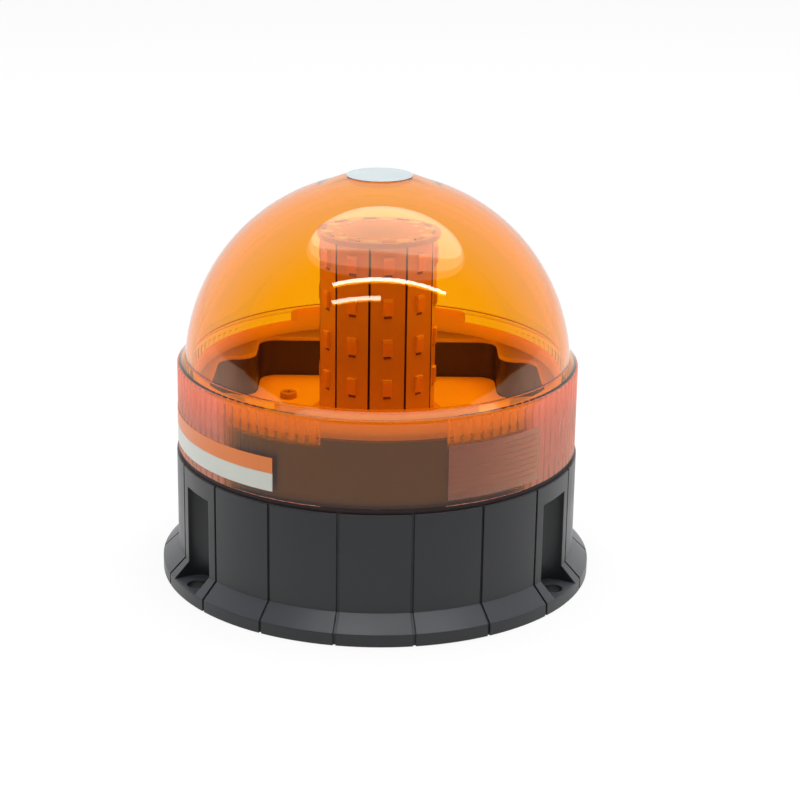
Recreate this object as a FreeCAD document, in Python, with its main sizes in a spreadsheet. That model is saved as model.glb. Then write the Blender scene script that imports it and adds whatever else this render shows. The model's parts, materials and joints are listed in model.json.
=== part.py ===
"""Three-bolt machine-safety beacon: a domed amber lens on a black moulded base, with a ten-sided tower of LEDs.

All lengths are in millimetres. The origin is the centre of the base's underside, +Z is up and the front
of the beacon, the side away from the rear bolt pocket, faces -Y.
"""
import FreeCAD, Part
import math
import os
import Sketcher
from FreeCAD import Placement, Rotation, Vector

doc = FreeCAD.newDocument("Beacon")

# Driving sizes: (name, value, what it sets). Radii follow from the bolt circle and heights from the top deck.
SIZES = [
    # Radii of the housing and lens
    ("bolt_circle_radius", 65.0, "radius of the circle on which the mounting bolts lie"),
    ("flange_margin", 5.0, "how far the flange reaches past the bolt circle; sets the overall diameter"),
    ("wall_inset", 0.1, "how far the base wall's outside lies within the bolt circle"),
    ("collar_inset", 0.5, "how far the lens collar's outside lies within the base wall's"),
    ("dome_inset", 2.4, "how far the dome's outside lies within the collar's"),
    # Heights of the housing and lens
    ("deck_top", 40.4, "height of the base moulding's top deck"),
    ("collar_height", 29.95, "height of the lens collar above its foot"),
    ("dome_rise", 58.0, "height of the dome above the collar; sets the overall height"),
    ("land_rise", 1.4, "how far the land on top of the lens stands out of the dome"),
    # Base moulding
    ("flange_edge", 3.9, "height of the flange's upright edge, and thickness of the bolt pocket floors"),
    ("flare_rise", 5.0, "height of the sloping skirt between flange edge and wall"),
    ("shell_wall", 3.0, "wall thickness of the base moulding"),
    ("deck_land", 2.8, "width of the top deck inside the heads of the ring's screws"),
    ("groove_count", 18, "upright grooves round the base"),
    ("groove_width", 0.9, "width of each groove"),
    ("groove_depth", 0.7, "depth of each groove"),
    # Bolt pockets
    ("bolt_hole_radius", 3.25, "radius of each mounting hole"),
    ("pocket_radius", 7.5, "radius of the half-round back of a bolt pocket"),
    ("pocket_lintel", 2.9, "thickness of the roof over a bolt pocket"),
    ("pocket_wall", 2.4, "wall thickness round a bolt pocket"),
    # Closing plate
    ("plate_recess", 0.8, "how far the closing plate sits inside the base"),
    ("plate_thickness", 2.4, "thickness of the closing plate"),
    ("plate_boss_radius", 4.6, "radius of the bosses that carry the closing plate"),
    ("plate_boss_bite", 0.5, "how far those bosses run into the base wall"),
    ("grommet_seat", 8.0, "radius of the cable hole in the closing plate"),
    ("grommet_bore", 3.5, "radius of the grommet's bore"),
    ("grommet_flange", 10.5, "radius of the grommet's two flanges"),
    ("grommet_height", 9.0, "height of the grommet's neck"),
    # Lens
    ("lens_wall", 2.0, "wall thickness of the lens"),
    ("collar_round", 2.0, "rounding of the collar's upper rim"),
    ("land_radius", 10.5, "radius of the land on top of the lens"),
    ("land_edge", 0.7, "width of the raised edge round the land"),
    ("land_depth", 0.25, "depth of the land within that edge"),
    ("prism_pitch", 3.0, "angle from one prism rib to the next"),
    ("prism_depth", 0.6, "depth of the prism ribs inside the collar"),
    ("prism_foot", 2.5, "height of the smooth lip below the prism ribs"),
    ("window_start", -15.0, "left end of the rib-free window, in degrees from the front"),
    ("window_end", 19.0, "right end of the rib-free window, in degrees from the front"),
    # Twist lock
    ("lock_turn", 70.0, "place of the first locking lug, in degrees from +X"),
    ("lug_angle", 12.0, "width of each locking lug, in degrees"),
    ("lug_depth", 2.6, "how far a lug stands in from the lens wall"),
    ("lug_height", 3.0, "height of a lug"),
    ("lug_rise", 2.95, "height of a lug's lower face above the lens's foot"),
    ("twist_angle", 20.0, "turn from locked to free"),
    ("lock_clearance", 0.4, "clearance round a lug in its channel"),
    # Seal and mount ring
    ("seal_thickness", 1.6, "thickness of the lens seal"),
    ("seal_gap", 0.05, "clearance between seal and lens"),
    ("ring_clearance", 0.7, "gap between the prism ribs and the mount ring"),
    ("ring_height", 22.0, "height of the mount ring"),
    ("ring_wall", 2.5, "wall thickness of the mount ring"),
    ("ring_skirt", 3.6, "wall thickness of the ring's slotted skirt"),
    # Well in the mount ring, in shares of the ring's radius
    ("well_width_share", 0.671, "half width of the well's front and rear bays"),
    ("well_depth_share", 0.715, "distance from the middle to the front and rear walls"),
    ("well_step_share", 0.336, "half width of the well's side bays"),
    ("well_reach_share", 0.872, "distance from the middle to the walls of the side bays"),
    ("well_rise", 7.6, "height of the well's floor above the top deck"),
    ("well_corner", 6.0, "corner radius of the well"),
    ("deck_thickness", 2.0, "thickness of the white reflector deck"),
    ("deck_clearance", 0.3, "gap round the reflector deck"),
    # Reflector rim on the mount ring
    ("rim_thickness", 1.2, "thickness of the white rim and its wall"),
    ("rim_gap", 0.3, "distance of the rim from the twist-lock slots"),
    ("rim_wall_low", 4.2, "height of the rim's wall at the sides"),
    ("rim_wall_high", 8.0, "height of the rim's wall at the front and rear"),
    ("rim_span", 31.0, "half width of each high part of that wall, in degrees"),
    # Circuit boards
    ("board_gap", 2.0, "gap between the driver board and the opening in the top deck"),
    ("board_edge", 7.5, "distance of the driver board's screws from its edge"),
    ("board_thickness", 1.6, "thickness of the driver, foot and top boards"),
    ("standoff", 3.1, "height of the bosses that carry the driver board"),
    ("boss_radius", 3.5, "radius of the screw bosses"),
    # Parts on the driver board
    ("capacitor_radius", 5.0, "radius of a capacitor"),
    ("capacitor_height", 16.0, "height of a capacitor"),
    ("coil_radius", 8.0, "radius of the coil's two flanges"),
    ("coil_height", 7.0, "height of the coil"),
    ("coil_flange", 1.2, "thickness of each flange of the coil"),
    ("chip_length", 8.0, "length of a chip"),
    ("chip_width", 6.0, "width of a chip"),
    ("chip_height", 1.6, "height of a chip"),
    ("terminal_length", 16.0, "length of the terminal block"),
    ("terminal_width", 8.0, "width of the terminal block"),
    ("terminal_height", 9.0, "height of the terminal block"),
    ("terminal_mouth", 4.0, "width of each of its three mouths"),
    ("header_length", 11.0, "length of the tower's connector"),
    ("header_width", 5.0, "width of the tower's connector"),
    # LED tower
    ("strip_count", 10, "upright LED boards round the tower"),
    ("strip_width", 10.9, "width of one LED board"),
    ("strip_thickness", 1.0, "thickness of one LED board"),
    ("strip_corner_gap", 0.12, "gap between the inner corners of neighbouring LED boards"),
    ("tower_height", 62.0, "height of the tower above the reflector deck"),
    ("tower_turn", -80.3, "angle of the first LED board from +X"),
    ("cap_margin", 0.7, "how far the top board reaches past the tower's corners"),
    ("foot_margin", 3.0, "how far the foot board reaches past the tower's corners"),
    ("tab_width", 4.0, "width of the tab at the upper end of an LED board"),
    ("tab_rise", 0.3, "how far a tab stands out of the top board"),
    ("tab_play", 0.15, "gap round a tab in its slot"),
    ("led_width", 3.0, "width of an LED"),
    ("led_height", 5.2, "height of an LED"),
    ("led_depth", 0.9, "thickness of an LED"),
    ("led_first", 15.4, "height of the lowest row of LEDs above the reflector deck"),
    ("led_last", 7.2, "distance of the highest row of LEDs from the tower's top"),
    ("led_rows", 4, "rows of LEDs"),
    # Screws
    ("screw_radius", 1.45, "radius of the self-tapping screws"),
    ("screw_head", 2.8, "radius of a screw's head"),
    ("screw_head_height", 1.8, "height of a screw's head"),
    ("screw_bite", 8.0, "length of a screw in its boss"),
    ("pilot_clearance", 0.05, "clearance of a screw in its pilot hole"),
]

sheet = doc.addObject("Spreadsheet::Sheet", "Sizes")
sheet.set("A1", "name")
sheet.set("B1", "value")
sheet.set("C1", "meaning")
for row, (alias, value, meaning) in enumerate(SIZES, start=2):
    sheet.set("A%d" % row, alias)
    sheet.set("B%d" % row, str(value))
    sheet.set("C%d" % row, meaning)
    sheet.setAlias("B%d" % row, alias)
doc.recompute()


class Size:
    """A length that knows both its value and the expression that a sketch or feature is bound to."""

    def __init__(self, value, text):
        self.value = value
        self.text = text

    def join(self, other, sign, value):
        return Size(value, "(%s %s %s)" % (self.text, sign, as_size(other).text))

    def __add__(self, other):
        return self.join(other, "+", self.value + float(other))

    def __sub__(self, other):
        return self.join(other, "-", self.value - float(other))

    def __mul__(self, other):
        return self.join(other, "*", self.value * float(other))

    def __truediv__(self, other):
        return self.join(other, "/", self.value / float(other))

    def __rsub__(self, other):
        return as_size(other) - self

    def __neg__(self):
        return Size(-self.value, "(0 - %s)" % self.text)

    def __float__(self):
        return float(self.value)

    __radd__ = __add__
    __rmul__ = __mul__


def as_size(number):
    return number if isinstance(number, Size) else Size(float(number), repr(float(number)))


def root_of(size):
    return Size(math.sqrt(size.value), "sqrt(%s)" % size.text)


def cosine(size):
    return Size(math.cos(math.radians(size.value)), "cos(%s * 1deg)" % size.text)


def sine(size):
    return Size(math.sin(math.radians(size.value)), "sin(%s * 1deg)" % size.text)


def beside(radius, across):
    """The other leg of a right triangle whose long side is radius."""
    return root_of(radius * radius - across * across)


class Named:
    """The sheet's sizes as attributes."""


size = Named()
for alias, value, meaning in SIZES:
    setattr(size, alias, Size(float(sheet.get(alias)), "Sizes.%s" % alias))


def drive(obj, prop, amount):
    """Sets a property and binds it to the sheet."""
    amount = as_size(amount)
    setattr(obj, prop, amount.value)
    if "Sizes." in amount.text:
        obj.setExpression(prop, amount.text)


# %% Sketch helpers
def constrain(sketch, kind, *where):
    """Adds a dimension whose last argument is a size, bound to the sheet."""
    amount = as_size(where[-1])
    index = sketch.addConstraint(Sketcher.Constraint(kind, *where[:-1], amount.value))
    if "Sizes." in amount.text:
        sketch.setExpression("Constraints[%d]" % index, amount.text)


def pin(sketch, geometry, point, x, y):
    """Ties one point of a sketch to its distances from the sketch's origin."""
    for amount, kind, axis in ((x, "DistanceX", -2), (y, "DistanceY", -1)):
        if amount is None:
            continue
        if float(amount) == 0.0:
            sketch.addConstraint(Sketcher.Constraint("PointOnObject", geometry, point, axis))
        else:
            constrain(sketch, kind, -1, 1, geometry, point, amount)


def add_outline(sketch, corners):
    """A closed outline of straight lines through pinned corners."""
    points = [Vector(float(x), float(y), 0) for x, y in corners]
    lines = []
    for start, end in zip(points, points[1:] + points[:1]):
        lines.append(sketch.addGeometry(Part.LineSegment(start, end)))
    for line, following in zip(lines, lines[1:] + lines[:1]):
        sketch.addConstraint(Sketcher.Constraint("Coincident", line, 2, following, 1))
    for line, (x, y) in zip(lines, corners):
        pin(sketch, line, 1, x, y)


def add_circle(sketch, radius, x=0.0, y=0.0):
    circle = Part.Circle(Vector(float(x), float(y), 0), Vector(0, 0, 1), float(radius))
    index = sketch.addGeometry(circle)
    pin(sketch, index, 3, x, y)
    constrain(sketch, "Radius", index, radius)


def rectangle(left, right, low, high):
    return [(left, low), (right, low), (right, high), (left, high)]


def polar(radius, angle):
    """A point on a circle, the angle in degrees from +X."""
    angle = as_size(angle)
    return radius * cosine(angle), radius * sine(angle)


# %% Bodies
class Piece:
    """One moulded or cut piece, built feature by feature."""

    def __init__(self, label):
        self.body = doc.addObject("PartDesign::Body", label)
        self.body.Label = label
        self.last = None

    def origin(self, role):
        return [item for item in self.body.Origin.OriginFeatures if item.Role == role][0]

    def sketch(self, name, plane="XY_Plane", height=None, turn=None):
        """A sketch on an origin plane, raised by height or swung about the upright axis by turn."""
        sketch = self.body.newObject("Sketcher::SketchObject", name)
        sketch.AttachmentSupport = (self.origin(plane), "")
        sketch.MapMode = "FlatFace"
        if height is not None:
            height = as_size(height)
            sketch.AttachmentOffset = Placement(Vector(0, 0, height.value), Rotation())
            if "Sizes." in height.text:
                sketch.setExpression("AttachmentOffset.Base.z", height.text)
        if turn is not None:
            sketch.AttachmentOffset = Placement(Vector(), Rotation(Vector(0, 1, 0), float(turn)))
        return sketch

    def volume(self):
        doc.recompute()
        return self.body.Shape.Volume if self.last is not None else 0.0

    def feature(self, kind, name, sketch, grows, length=None, symmetric=False, angle=None, reverse=False):
        before = self.volume()
        feature = self.body.newObject(kind, name)
        feature.Profile = sketch
        if length is not None:
            drive(feature, "Length", length)
            feature.SideType = "Symmetric" if symmetric else "One side"
        else:
            feature.ReferenceAxis = (sketch, ["V_Axis"])
            drive(feature, "Angle", angle)
            feature.Midplane = symmetric
        feature.Reversed = reverse
        self.last = feature
        after = self.volume()
        if (after - before) * (1 if grows else -1) < 1e-6:
            raise RuntimeError("%s of %s leaves the solid as it was" % (name, self.body.Label))
        return feature

    def pad(self, name, sketch, length, **more):
        return self.feature("PartDesign::Pad", name, sketch, True, length=length, **more)

    def pocket(self, name, sketch, length, **more):
        return self.feature("PartDesign::Pocket", name, sketch, False, length=length, **more)

    def revolve(self, name, sketch, angle=360.0, **more):
        return self.feature("PartDesign::Revolution", name, sketch, True, angle=angle, **more)

    def groove(self, name, sketch, angle=360.0, **more):
        return self.feature("PartDesign::Groove", name, sketch, False, angle=angle, **more)

    def repeat(self, name, originals, count, angle=360.0):
        """Copies features round the upright axis."""
        pattern = self.body.newObject("PartDesign::PolarPattern", name)
        pattern.Originals = originals
        pattern.Axis = (self.origin("Z_Axis"), [""])
        pattern.Angle = float(angle)
        pattern.Occurrences = int(round(float(count)))
        self.body.Tip = pattern
        self.last = pattern
        doc.recompute()
        return pattern

    def round_edges(self, name, radius, wanted):
        """Rounds the edges that the test picks out."""
        doc.recompute()
        edges = self.last.Shape.Edges
        names = ["Edge%d" % number for number, edge in enumerate(edges, start=1) if wanted(edge)]
        if not names:
            raise RuntimeError("no edge to round for %s" % name)
        fillet = self.body.newObject("PartDesign::Fillet", name)
        fillet.Base = (self.last, names)
        drive(fillet, "Radius", radius)
        self.body.Tip = fillet
        self.last = fillet
        doc.recompute()
        return fillet


def upright_edge(edge, low, high, inside):
    """True for a straight upright edge within a height band and within a radius."""
    if edge.Curve.TypeId != "Part::GeomLine":
        return False
    box = edge.BoundBox
    if box.XLength > 0.01 or box.YLength > 0.01:
        return False
    away = math.hypot(box.XMin, box.YMin)
    return box.ZMin >= float(low) - 0.01 and box.ZMax <= float(high) + 0.01 and away < float(inside)


PIECES = []


def solid_box(name, length, width, height, x, y, z, turn=0.0):
    """A box standing on z, centred on x and y, turned about the upright axis through the origin."""
    box = doc.addObject("Part::Box", name)
    drive(box, "Length", length)
    drive(box, "Width", width)
    drive(box, "Height", height)
    corner = Vector(float(x) - float(length) / 2, float(y) - float(width) / 2, float(z))
    spin = Rotation(Vector(0, 0, 1), float(turn))
    box.Placement = Placement(spin.multVec(corner), spin)
    return box


def solid_cylinder(name, radius, height, x, y, z):
    cylinder = doc.addObject("Part::Cylinder", name)
    drive(cylinder, "Radius", radius)
    drive(cylinder, "Height", height)
    cylinder.Placement = Placement(Vector(float(x), float(y), float(z)), Rotation())
    return cylinder


def fused(name, parts):
    joined = doc.addObject("Part::MultiFuse", name)
    joined.Shapes = parts
    return joined


def cut(name, base, tool):
    result = doc.addObject("Part::Cut", name)
    result.Base = base
    result.Tool = tool
    return result


def group(label, parts):
    compound = doc.addObject("Part::Compound", label)
    compound.Label = label
    compound.Links = parts
    PIECES.append(compound)
    return compound


def screw(name, x, y, seat, length, upward, recessed=True):
    """A pan-head screw whose head bears on seat; upward tells which way its shank points."""
    head_low = seat - size.screw_head_height if upward else seat
    shank_low = seat if upward else seat - length
    head = solid_cylinder(name + "_head", size.screw_head, size.screw_head_height, x, y, head_low)
    shank = solid_cylinder(name + "_shank", size.screw_radius, length, x, y, shank_low)
    blank = fused(name + "_blank", [head, shank])
    if not recessed:
        return blank
    recess_depth = size.screw_head_height * 0.5
    recess_low = head_low if upward else head_low + recess_depth
    arm = size.screw_head * 1.2
    blade = size.screw_head * 0.28
    across = solid_box(name + "_recess_x", arm, blade, recess_depth, x, y, recess_low)
    along = solid_box(name + "_recess_y", blade, arm, recess_depth, x, y, recess_low)
    return cut(name, blank, fused(name + "_recess", [across, along]))


# %% Heights and radii that follow from the driving sizes
flange_radius = size.bolt_circle_radius + size.flange_margin
shell_radius = size.bolt_circle_radius - size.wall_inset
lens_radius = shell_radius - size.collar_inset
dome_radius = lens_radius - size.dome_inset
flare_top = size.flange_edge + size.flare_rise
shell_inner = shell_radius - size.shell_wall
deck_underside = size.deck_top - size.shell_wall
pocket_roof = deck_underside - size.pocket_lintel
plate_top = size.plate_recess + size.plate_thickness
plate_boss_circle = shell_inner - size.plate_boss_radius + size.plate_boss_bite
lens_bottom = size.deck_top + size.seal_thickness + size.seal_gap
collar_top = lens_bottom + size.collar_height
dome_top = collar_top + size.dome_rise
lens_inner = lens_radius - size.lens_wall
lug_bottom = lens_bottom + size.lug_rise
slot_inner = lens_inner - size.lug_depth - size.lock_clearance
ring_top = size.deck_top + size.ring_height
ring_radius = lens_inner - size.prism_depth - size.ring_clearance
skirt_inner = ring_radius - size.ring_skirt
ring_screw_circle = skirt_inner - size.boss_radius + size.lock_clearance * 3
deck_opening = ring_screw_circle - size.screw_head - size.deck_land
well_half_width = ring_radius * size.well_width_share
well_half_depth = ring_radius * size.well_depth_share
well_step = ring_radius * size.well_step_share
well_reach = ring_radius * size.well_reach_share
well_floor = size.deck_top + size.well_rise
well_underside = well_floor - size.ring_wall
reflector_top = well_floor + size.deck_thickness
board_radius = deck_opening - size.board_gap
board_boss_circle = board_radius - size.board_edge
board_top = well_underside - size.standoff
board_bottom = board_top - size.board_thickness
pilot_radius = size.screw_radius + size.pilot_clearance
strip_half_turn = as_size(180.0) / size.strip_count
strip_inner = (size.strip_width / 2 + size.strip_corner_gap / 2) * cosine(strip_half_turn) / sine(strip_half_turn)
strip_outer = strip_inner + size.strip_thickness
tower_corner = root_of(strip_outer * strip_outer + size.strip_width * size.strip_width / 4)
foot_top = reflector_top + size.board_thickness
tower_top = reflector_top + size.tower_height
cap_bottom = tower_top - size.board_thickness
led_pitch = (size.tower_height - size.led_first - size.led_last) / (size.led_rows - 1)
deck_screw_x = well_half_width - size.screw_head * 4
deck_screw_y = well_step - size.screw_radius
POCKET_ANGLES = (90.0, 210.0, 330.0)
RING_SCREW_ANGLES = (32.4, 147.6, 270.0)

# %% Base moulding: a flared shell with grooves, three bolt pockets and screw bosses
base = Piece("base_housing")
PIECES.append(base.body)
shell = base.sketch("shell_section", "XZ_Plane")
add_outline(shell, [
    (deck_opening, size.deck_top),
    (shell_radius, size.deck_top),
    (shell_radius, flare_top),
    (flange_radius, size.flange_edge),
    (flange_radius, 0.0),
    (shell_inner, 0.0),
    (shell_inner, deck_underside),
    (deck_opening, deck_underside),
])
base.revolve("shell", shell)

pocket_case = base.sketch("pocket_case_outline")
pocket_back = size.bolt_circle_radius - size.pocket_radius
case_half = size.pocket_radius + size.pocket_wall
add_outline(pocket_case, rectangle(-case_half, case_half, pocket_back - size.pocket_wall,
                                   shell_inner + size.shell_wall / 2))
case = base.pad("pocket_case", pocket_case, deck_underside)
case_copies = base.repeat("pocket_cases", [case], 3)

back_outline = base.sketch("pocket_back_outline", height=pocket_roof)
add_circle(back_outline, size.pocket_radius, 0.0, size.bolt_circle_radius)
pocket_height = pocket_roof - size.flange_edge
back_cut = base.pocket("pocket_back", back_outline, pocket_height)
mouth_outline = base.sketch("pocket_mouth_outline", height=pocket_roof)
add_outline(mouth_outline, rectangle(-size.pocket_radius, size.pocket_radius, size.bolt_circle_radius,
                                     flange_radius + size.pocket_radius))
mouth_cut = base.pocket("pocket_mouth", mouth_outline, pocket_height)
hole_outline = base.sketch("bolt_hole_outline", height=size.flange_edge)
add_circle(hole_outline, size.bolt_hole_radius, 0.0, size.bolt_circle_radius)
hole_cut = base.pocket("bolt_hole", hole_outline, size.flange_edge)
base.repeat("bolt_pockets", [back_cut, mouth_cut, hole_cut], 3)

plate_boss_outline = base.sketch("plate_boss_outline", height=plate_top)
add_circle(plate_boss_outline, size.plate_boss_radius, plate_boss_circle, 0.0)
plate_boss = base.pad("plate_boss", plate_boss_outline, deck_underside - plate_top)
plate_pilot_outline = base.sketch("plate_pilot_outline", height=plate_top + size.screw_bite + 1.0)
add_circle(plate_pilot_outline, pilot_radius, plate_boss_circle, 0.0)
plate_pilot = base.pocket("plate_pilot", plate_pilot_outline, size.screw_bite + 1.0)
base.repeat("plate_bosses", [plate_boss, plate_pilot], 3)

ring_hole_outline = base.sketch("ring_hole_outline", height=size.deck_top)
for angle in RING_SCREW_ANGLES:
    hole_x, hole_y = polar(ring_screw_circle, angle)
    add_circle(ring_hole_outline, pilot_radius + 0.2, hole_x, hole_y)
base.pocket("ring_holes", ring_hole_outline, size.shell_wall)

groove_section = base.sketch("groove_section", "XZ_Plane")
over = size.groove_depth + 1.0
add_outline(groove_section, [
    (flange_radius - size.groove_depth, -over),
    (flange_radius - size.groove_depth, size.flange_edge - size.groove_depth / 2),
    (shell_radius - size.groove_depth, flare_top - size.groove_depth / 2),
    (shell_radius - size.groove_depth, size.deck_top + over),
    (shell_radius + over, size.deck_top + over),
    (shell_radius + over, flare_top + over),
    (flange_radius + over, size.flange_edge + over),
    (flange_radius + over, -over),
])
groove = base.pocket("groove", groove_section, size.groove_width, symmetric=True)
base.repeat("grooves", [groove], size.groove_count)

# %% Closing plate, its screws and the cable grommet
plate = Piece("bottom_plate")
PIECES.append(plate.body)
plate_outline = plate.sketch("plate_outline", height=size.plate_recess)
add_circle(plate_outline, shell_inner - size.deck_clearance)
add_circle(plate_outline, size.grommet_seat)
plate.pad("plate", plate_outline, size.plate_thickness)
notch_outline = plate.sketch("notch_outline", height=plate_top)
notch_half = case_half + size.deck_clearance
add_outline(notch_outline, rectangle(-notch_half, notch_half,
                                     pocket_back - size.pocket_wall - size.deck_clearance, shell_inner + 2.0))
notch = plate.pocket("notch", notch_outline, size.plate_thickness)
plate_hole_outline = plate.sketch("plate_hole_outline", height=plate_top)
hole_x, hole_y = polar(plate_boss_circle, 120.0)
add_circle(plate_hole_outline, pilot_radius + 0.2, hole_x, hole_y)
plate_hole = plate.pocket("plate_hole", plate_hole_outline, size.plate_thickness)
sink_outline = plate.sketch("sink_outline", height=size.plate_recess + size.plate_thickness / 2)
add_circle(sink_outline, size.screw_head + 0.3, hole_x, hole_y)
sink = plate.pocket("sink", sink_outline, size.plate_thickness / 2)
plate.repeat("plate_cuts", [notch, plate_hole, sink], 3)

plate_screws = []
for number, angle in enumerate((0.0, 120.0, 240.0), start=1):
    x, y = polar(plate_boss_circle, angle)
    seat = size.plate_recess + size.plate_thickness / 2
    plate_screws.append(screw("plate_screw_%d" % number, x, y, seat,
                              size.plate_thickness / 2 + size.screw_bite, True))
group("bottom_plate_screws", plate_screws)

grommet = Piece("cable_grommet")
PIECES.append(grommet.body)
grommet_section = grommet.sketch("grommet_section", "XZ_Plane")
grommet_low = size.plate_recess * 0.25
waist = size.grommet_seat - 0.1
flange_above = plate_top + 1.8
add_outline(grommet_section, [
    (size.grommet_bore, grommet_low),
    (size.grommet_flange, grommet_low),
    (size.grommet_flange, size.plate_recess),
    (waist, size.plate_recess),
    (waist, plate_top),
    (size.grommet_flange, plate_top),
    (size.grommet_flange, flange_above),
    (size.grommet_bore + 2.5, size.grommet_height),
    (size.grommet_bore, size.grommet_height),
])
grommet.revolve("grommet", grommet_section)

# %% Mount ring: carries the lens on three twist-lock slots and holds the stepped well
ring = Piece("lens_mount_ring")
PIECES.append(ring.body)
ring_outline = ring.sketch("ring_outline", height=size.deck_top)
add_circle(ring_outline, ring_radius)
ring.pad("ring_blank", ring_outline, ring_top - size.deck_top)
hollow_outline = ring.sketch("hollow_outline", height=ring_top - size.ring_wall)
add_circle(hollow_outline, skirt_inner)
ring.pocket("hollow", hollow_outline, ring_top - size.ring_wall - size.deck_top)


def stepped_outline(sketch, grow, chamfer=None):
    """The well's plan: front and rear bays crossed by two wider side bays."""
    half = well_half_width + grow
    deep = well_half_depth + grow
    step = well_step + grow
    reach = well_reach + grow
    quarter = [(half, deep)] if chamfer is None else [(half, deep - chamfer), (half - chamfer, deep)]
    front_right = [(x, -y) for x, y in reversed(quarter)]
    rear_left = [(-x, y) for x, y in reversed(quarter)]
    front_left = [(-x, -y) for x, y in quarter]
    add_outline(sketch, front_right + [(half, -step), (reach, -step), (reach, step), (half, step)]
                + quarter + rear_left + [(-half, step), (-reach, step), (-reach, -step), (-half, -step)]
                + front_left)


case_outline = ring.sketch("well_case_outline", height=well_underside)
stepped_outline(case_outline, size.ring_wall * 0.95, size.well_corner)
ring.pad("well_case", case_outline, ring_top - well_underside)
well_outline = ring.sketch("well_outline", height=ring_top)
stepped_outline(well_outline, as_size(0.0))
ring.pocket("well", well_outline, ring_top - well_floor)
ring.round_edges("well_corners", size.well_corner, lambda edge: upright_edge(
    edge, well_floor, ring_top, float(ring_radius) - 0.5))

ring_boss_outline = ring.sketch("ring_boss_outline", height=size.deck_top)
ring_pilot_outline = ring.sketch("ring_pilot_outline", height=size.deck_top + size.screw_bite + 1.0)
for angle in RING_SCREW_ANGLES:
    boss_x, boss_y = polar(ring_screw_circle, angle)
    add_circle(ring_boss_outline, size.boss_radius, boss_x, boss_y)
    add_circle(ring_pilot_outline, pilot_radius, boss_x, boss_y)
ring.pad("ring_bosses", ring_boss_outline, ring_top - size.ring_wall - size.deck_top)
ring.pocket("ring_pilots", ring_pilot_outline, size.screw_bite + 1.0)

board_boss_outline = ring.sketch("board_boss_outline", height=board_top)
boss_x, boss_y = polar(board_boss_circle, 45.0)
add_circle(board_boss_outline, size.boss_radius, boss_x, boss_y)
board_boss = ring.pad("board_boss", board_boss_outline, size.standoff)
board_pilot_outline = ring.sketch("board_pilot_outline", height=well_underside + size.ring_wall * 0.6)
add_circle(board_pilot_outline, pilot_radius, boss_x, boss_y)
board_pilot = ring.pocket("board_pilot", board_pilot_outline, size.standoff + size.ring_wall * 0.6)
ring.repeat("board_bosses", [board_boss, board_pilot], 4)

header_half = size.header_length / 2
DECK_SCREWS = ((-deck_screw_x, deck_screw_y), (deck_screw_x, -deck_screw_y))
floor_holes = ring.sketch("floor_holes", height=well_floor)
add_circle(floor_holes, header_half * 1.3)
for x, y in DECK_SCREWS:
    add_circle(floor_holes, pilot_radius, x, y)
ring.pocket("floor_cuts", floor_holes, size.ring_wall)

channel_low = lug_bottom - size.lock_clearance
channel_high = lug_bottom + size.lug_height + size.lock_clearance
slot_margin = 0.9
entry_section = ring.sketch("entry_section", "XZ_Plane", turn=size.lock_turn + size.twist_angle)
add_outline(entry_section, rectangle(slot_inner, ring_radius + 1.0, channel_low, ring_top + 1.0))
entry_cut = ring.groove("entry", entry_section, size.lug_angle + 2 * slot_margin, symmetric=True)
channel_section = ring.sketch("channel_section", "XZ_Plane", turn=size.lock_turn + size.twist_angle / 2)
add_outline(channel_section, rectangle(slot_inner, ring_radius + 1.0, channel_low, channel_high))
channel_cut = ring.groove("channel", channel_section, size.lug_angle + size.twist_angle + 2 * slot_margin,
                          symmetric=True)
ring.repeat("lock_slots", [entry_cut, channel_cut], 3)

ring_screws = []
for number, angle in enumerate(RING_SCREW_ANGLES, start=1):
    x, y = polar(ring_screw_circle, angle)
    ring_screws.append(screw("ring_screw_%d" % number, x, y, deck_underside,
                             size.shell_wall + size.screw_bite, True, recessed=False))
group("mount_ring_screws", ring_screws)

# %% Reflector rim: a white plate on the ring, with the well's cut-out and a wall that rises at front and rear
rim = Piece("reflector_rim")
PIECES.append(rim.body)
rim_radius = slot_inner - size.rim_gap
rim_top = ring_top + size.rim_thickness
rim_outline = rim.sketch("rim_outline", height=ring_top)
add_circle(rim_outline, ring_radius)
rim.pad("rim_plate", rim_outline, size.rim_thickness)
cutout_outline = rim.sketch("cutout_outline", height=rim_top)
stepped_outline(cutout_outline, as_size(0.0))
rim.pocket("cutout", cutout_outline, size.rim_thickness)
rim.round_edges("cutout_corners", size.well_corner, lambda edge: upright_edge(
    edge, ring_top, rim_top, float(ring_radius) - 0.5))
rim_edge_section = rim.sketch("rim_edge_section", "XZ_Plane")
add_outline(rim_edge_section, rectangle(rim_radius, ring_radius + 1.0, ring_top - 1.0, rim_top + 1.0))
rim.groove("rim_edge", rim_edge_section)
rim_wall_outline = rim.sketch("rim_wall_outline", height=ring_top)
add_circle(rim_wall_outline, rim_radius)
add_circle(rim_wall_outline, rim_radius - size.rim_thickness)
rim.pad("rim_wall", rim_wall_outline, size.rim_thickness + size.rim_wall_high)
side_outline = rim.sketch("side_outline", "YZ_Plane")
side_half = rim_radius * cosine(size.rim_span)
add_outline(side_outline, rectangle(-side_half, side_half, rim_top + size.rim_wall_low,
                                    rim_top + size.rim_wall_high + 1.0))
rim.pocket("rim_sides", side_outline, ring_radius * 2, symmetric=True)
rim.round_edges("rim_wall_corners", size.rim_thickness, lambda edge: (
    edge.Curve.TypeId == "Part::GeomLine" and edge.BoundBox.ZLength < 0.01
    and abs(abs(edge.BoundBox.YMin) - float(side_half)) < 0.01
    and abs(edge.BoundBox.ZMin - float(rim_top + size.rim_wall_high)) < 0.01))

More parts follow.
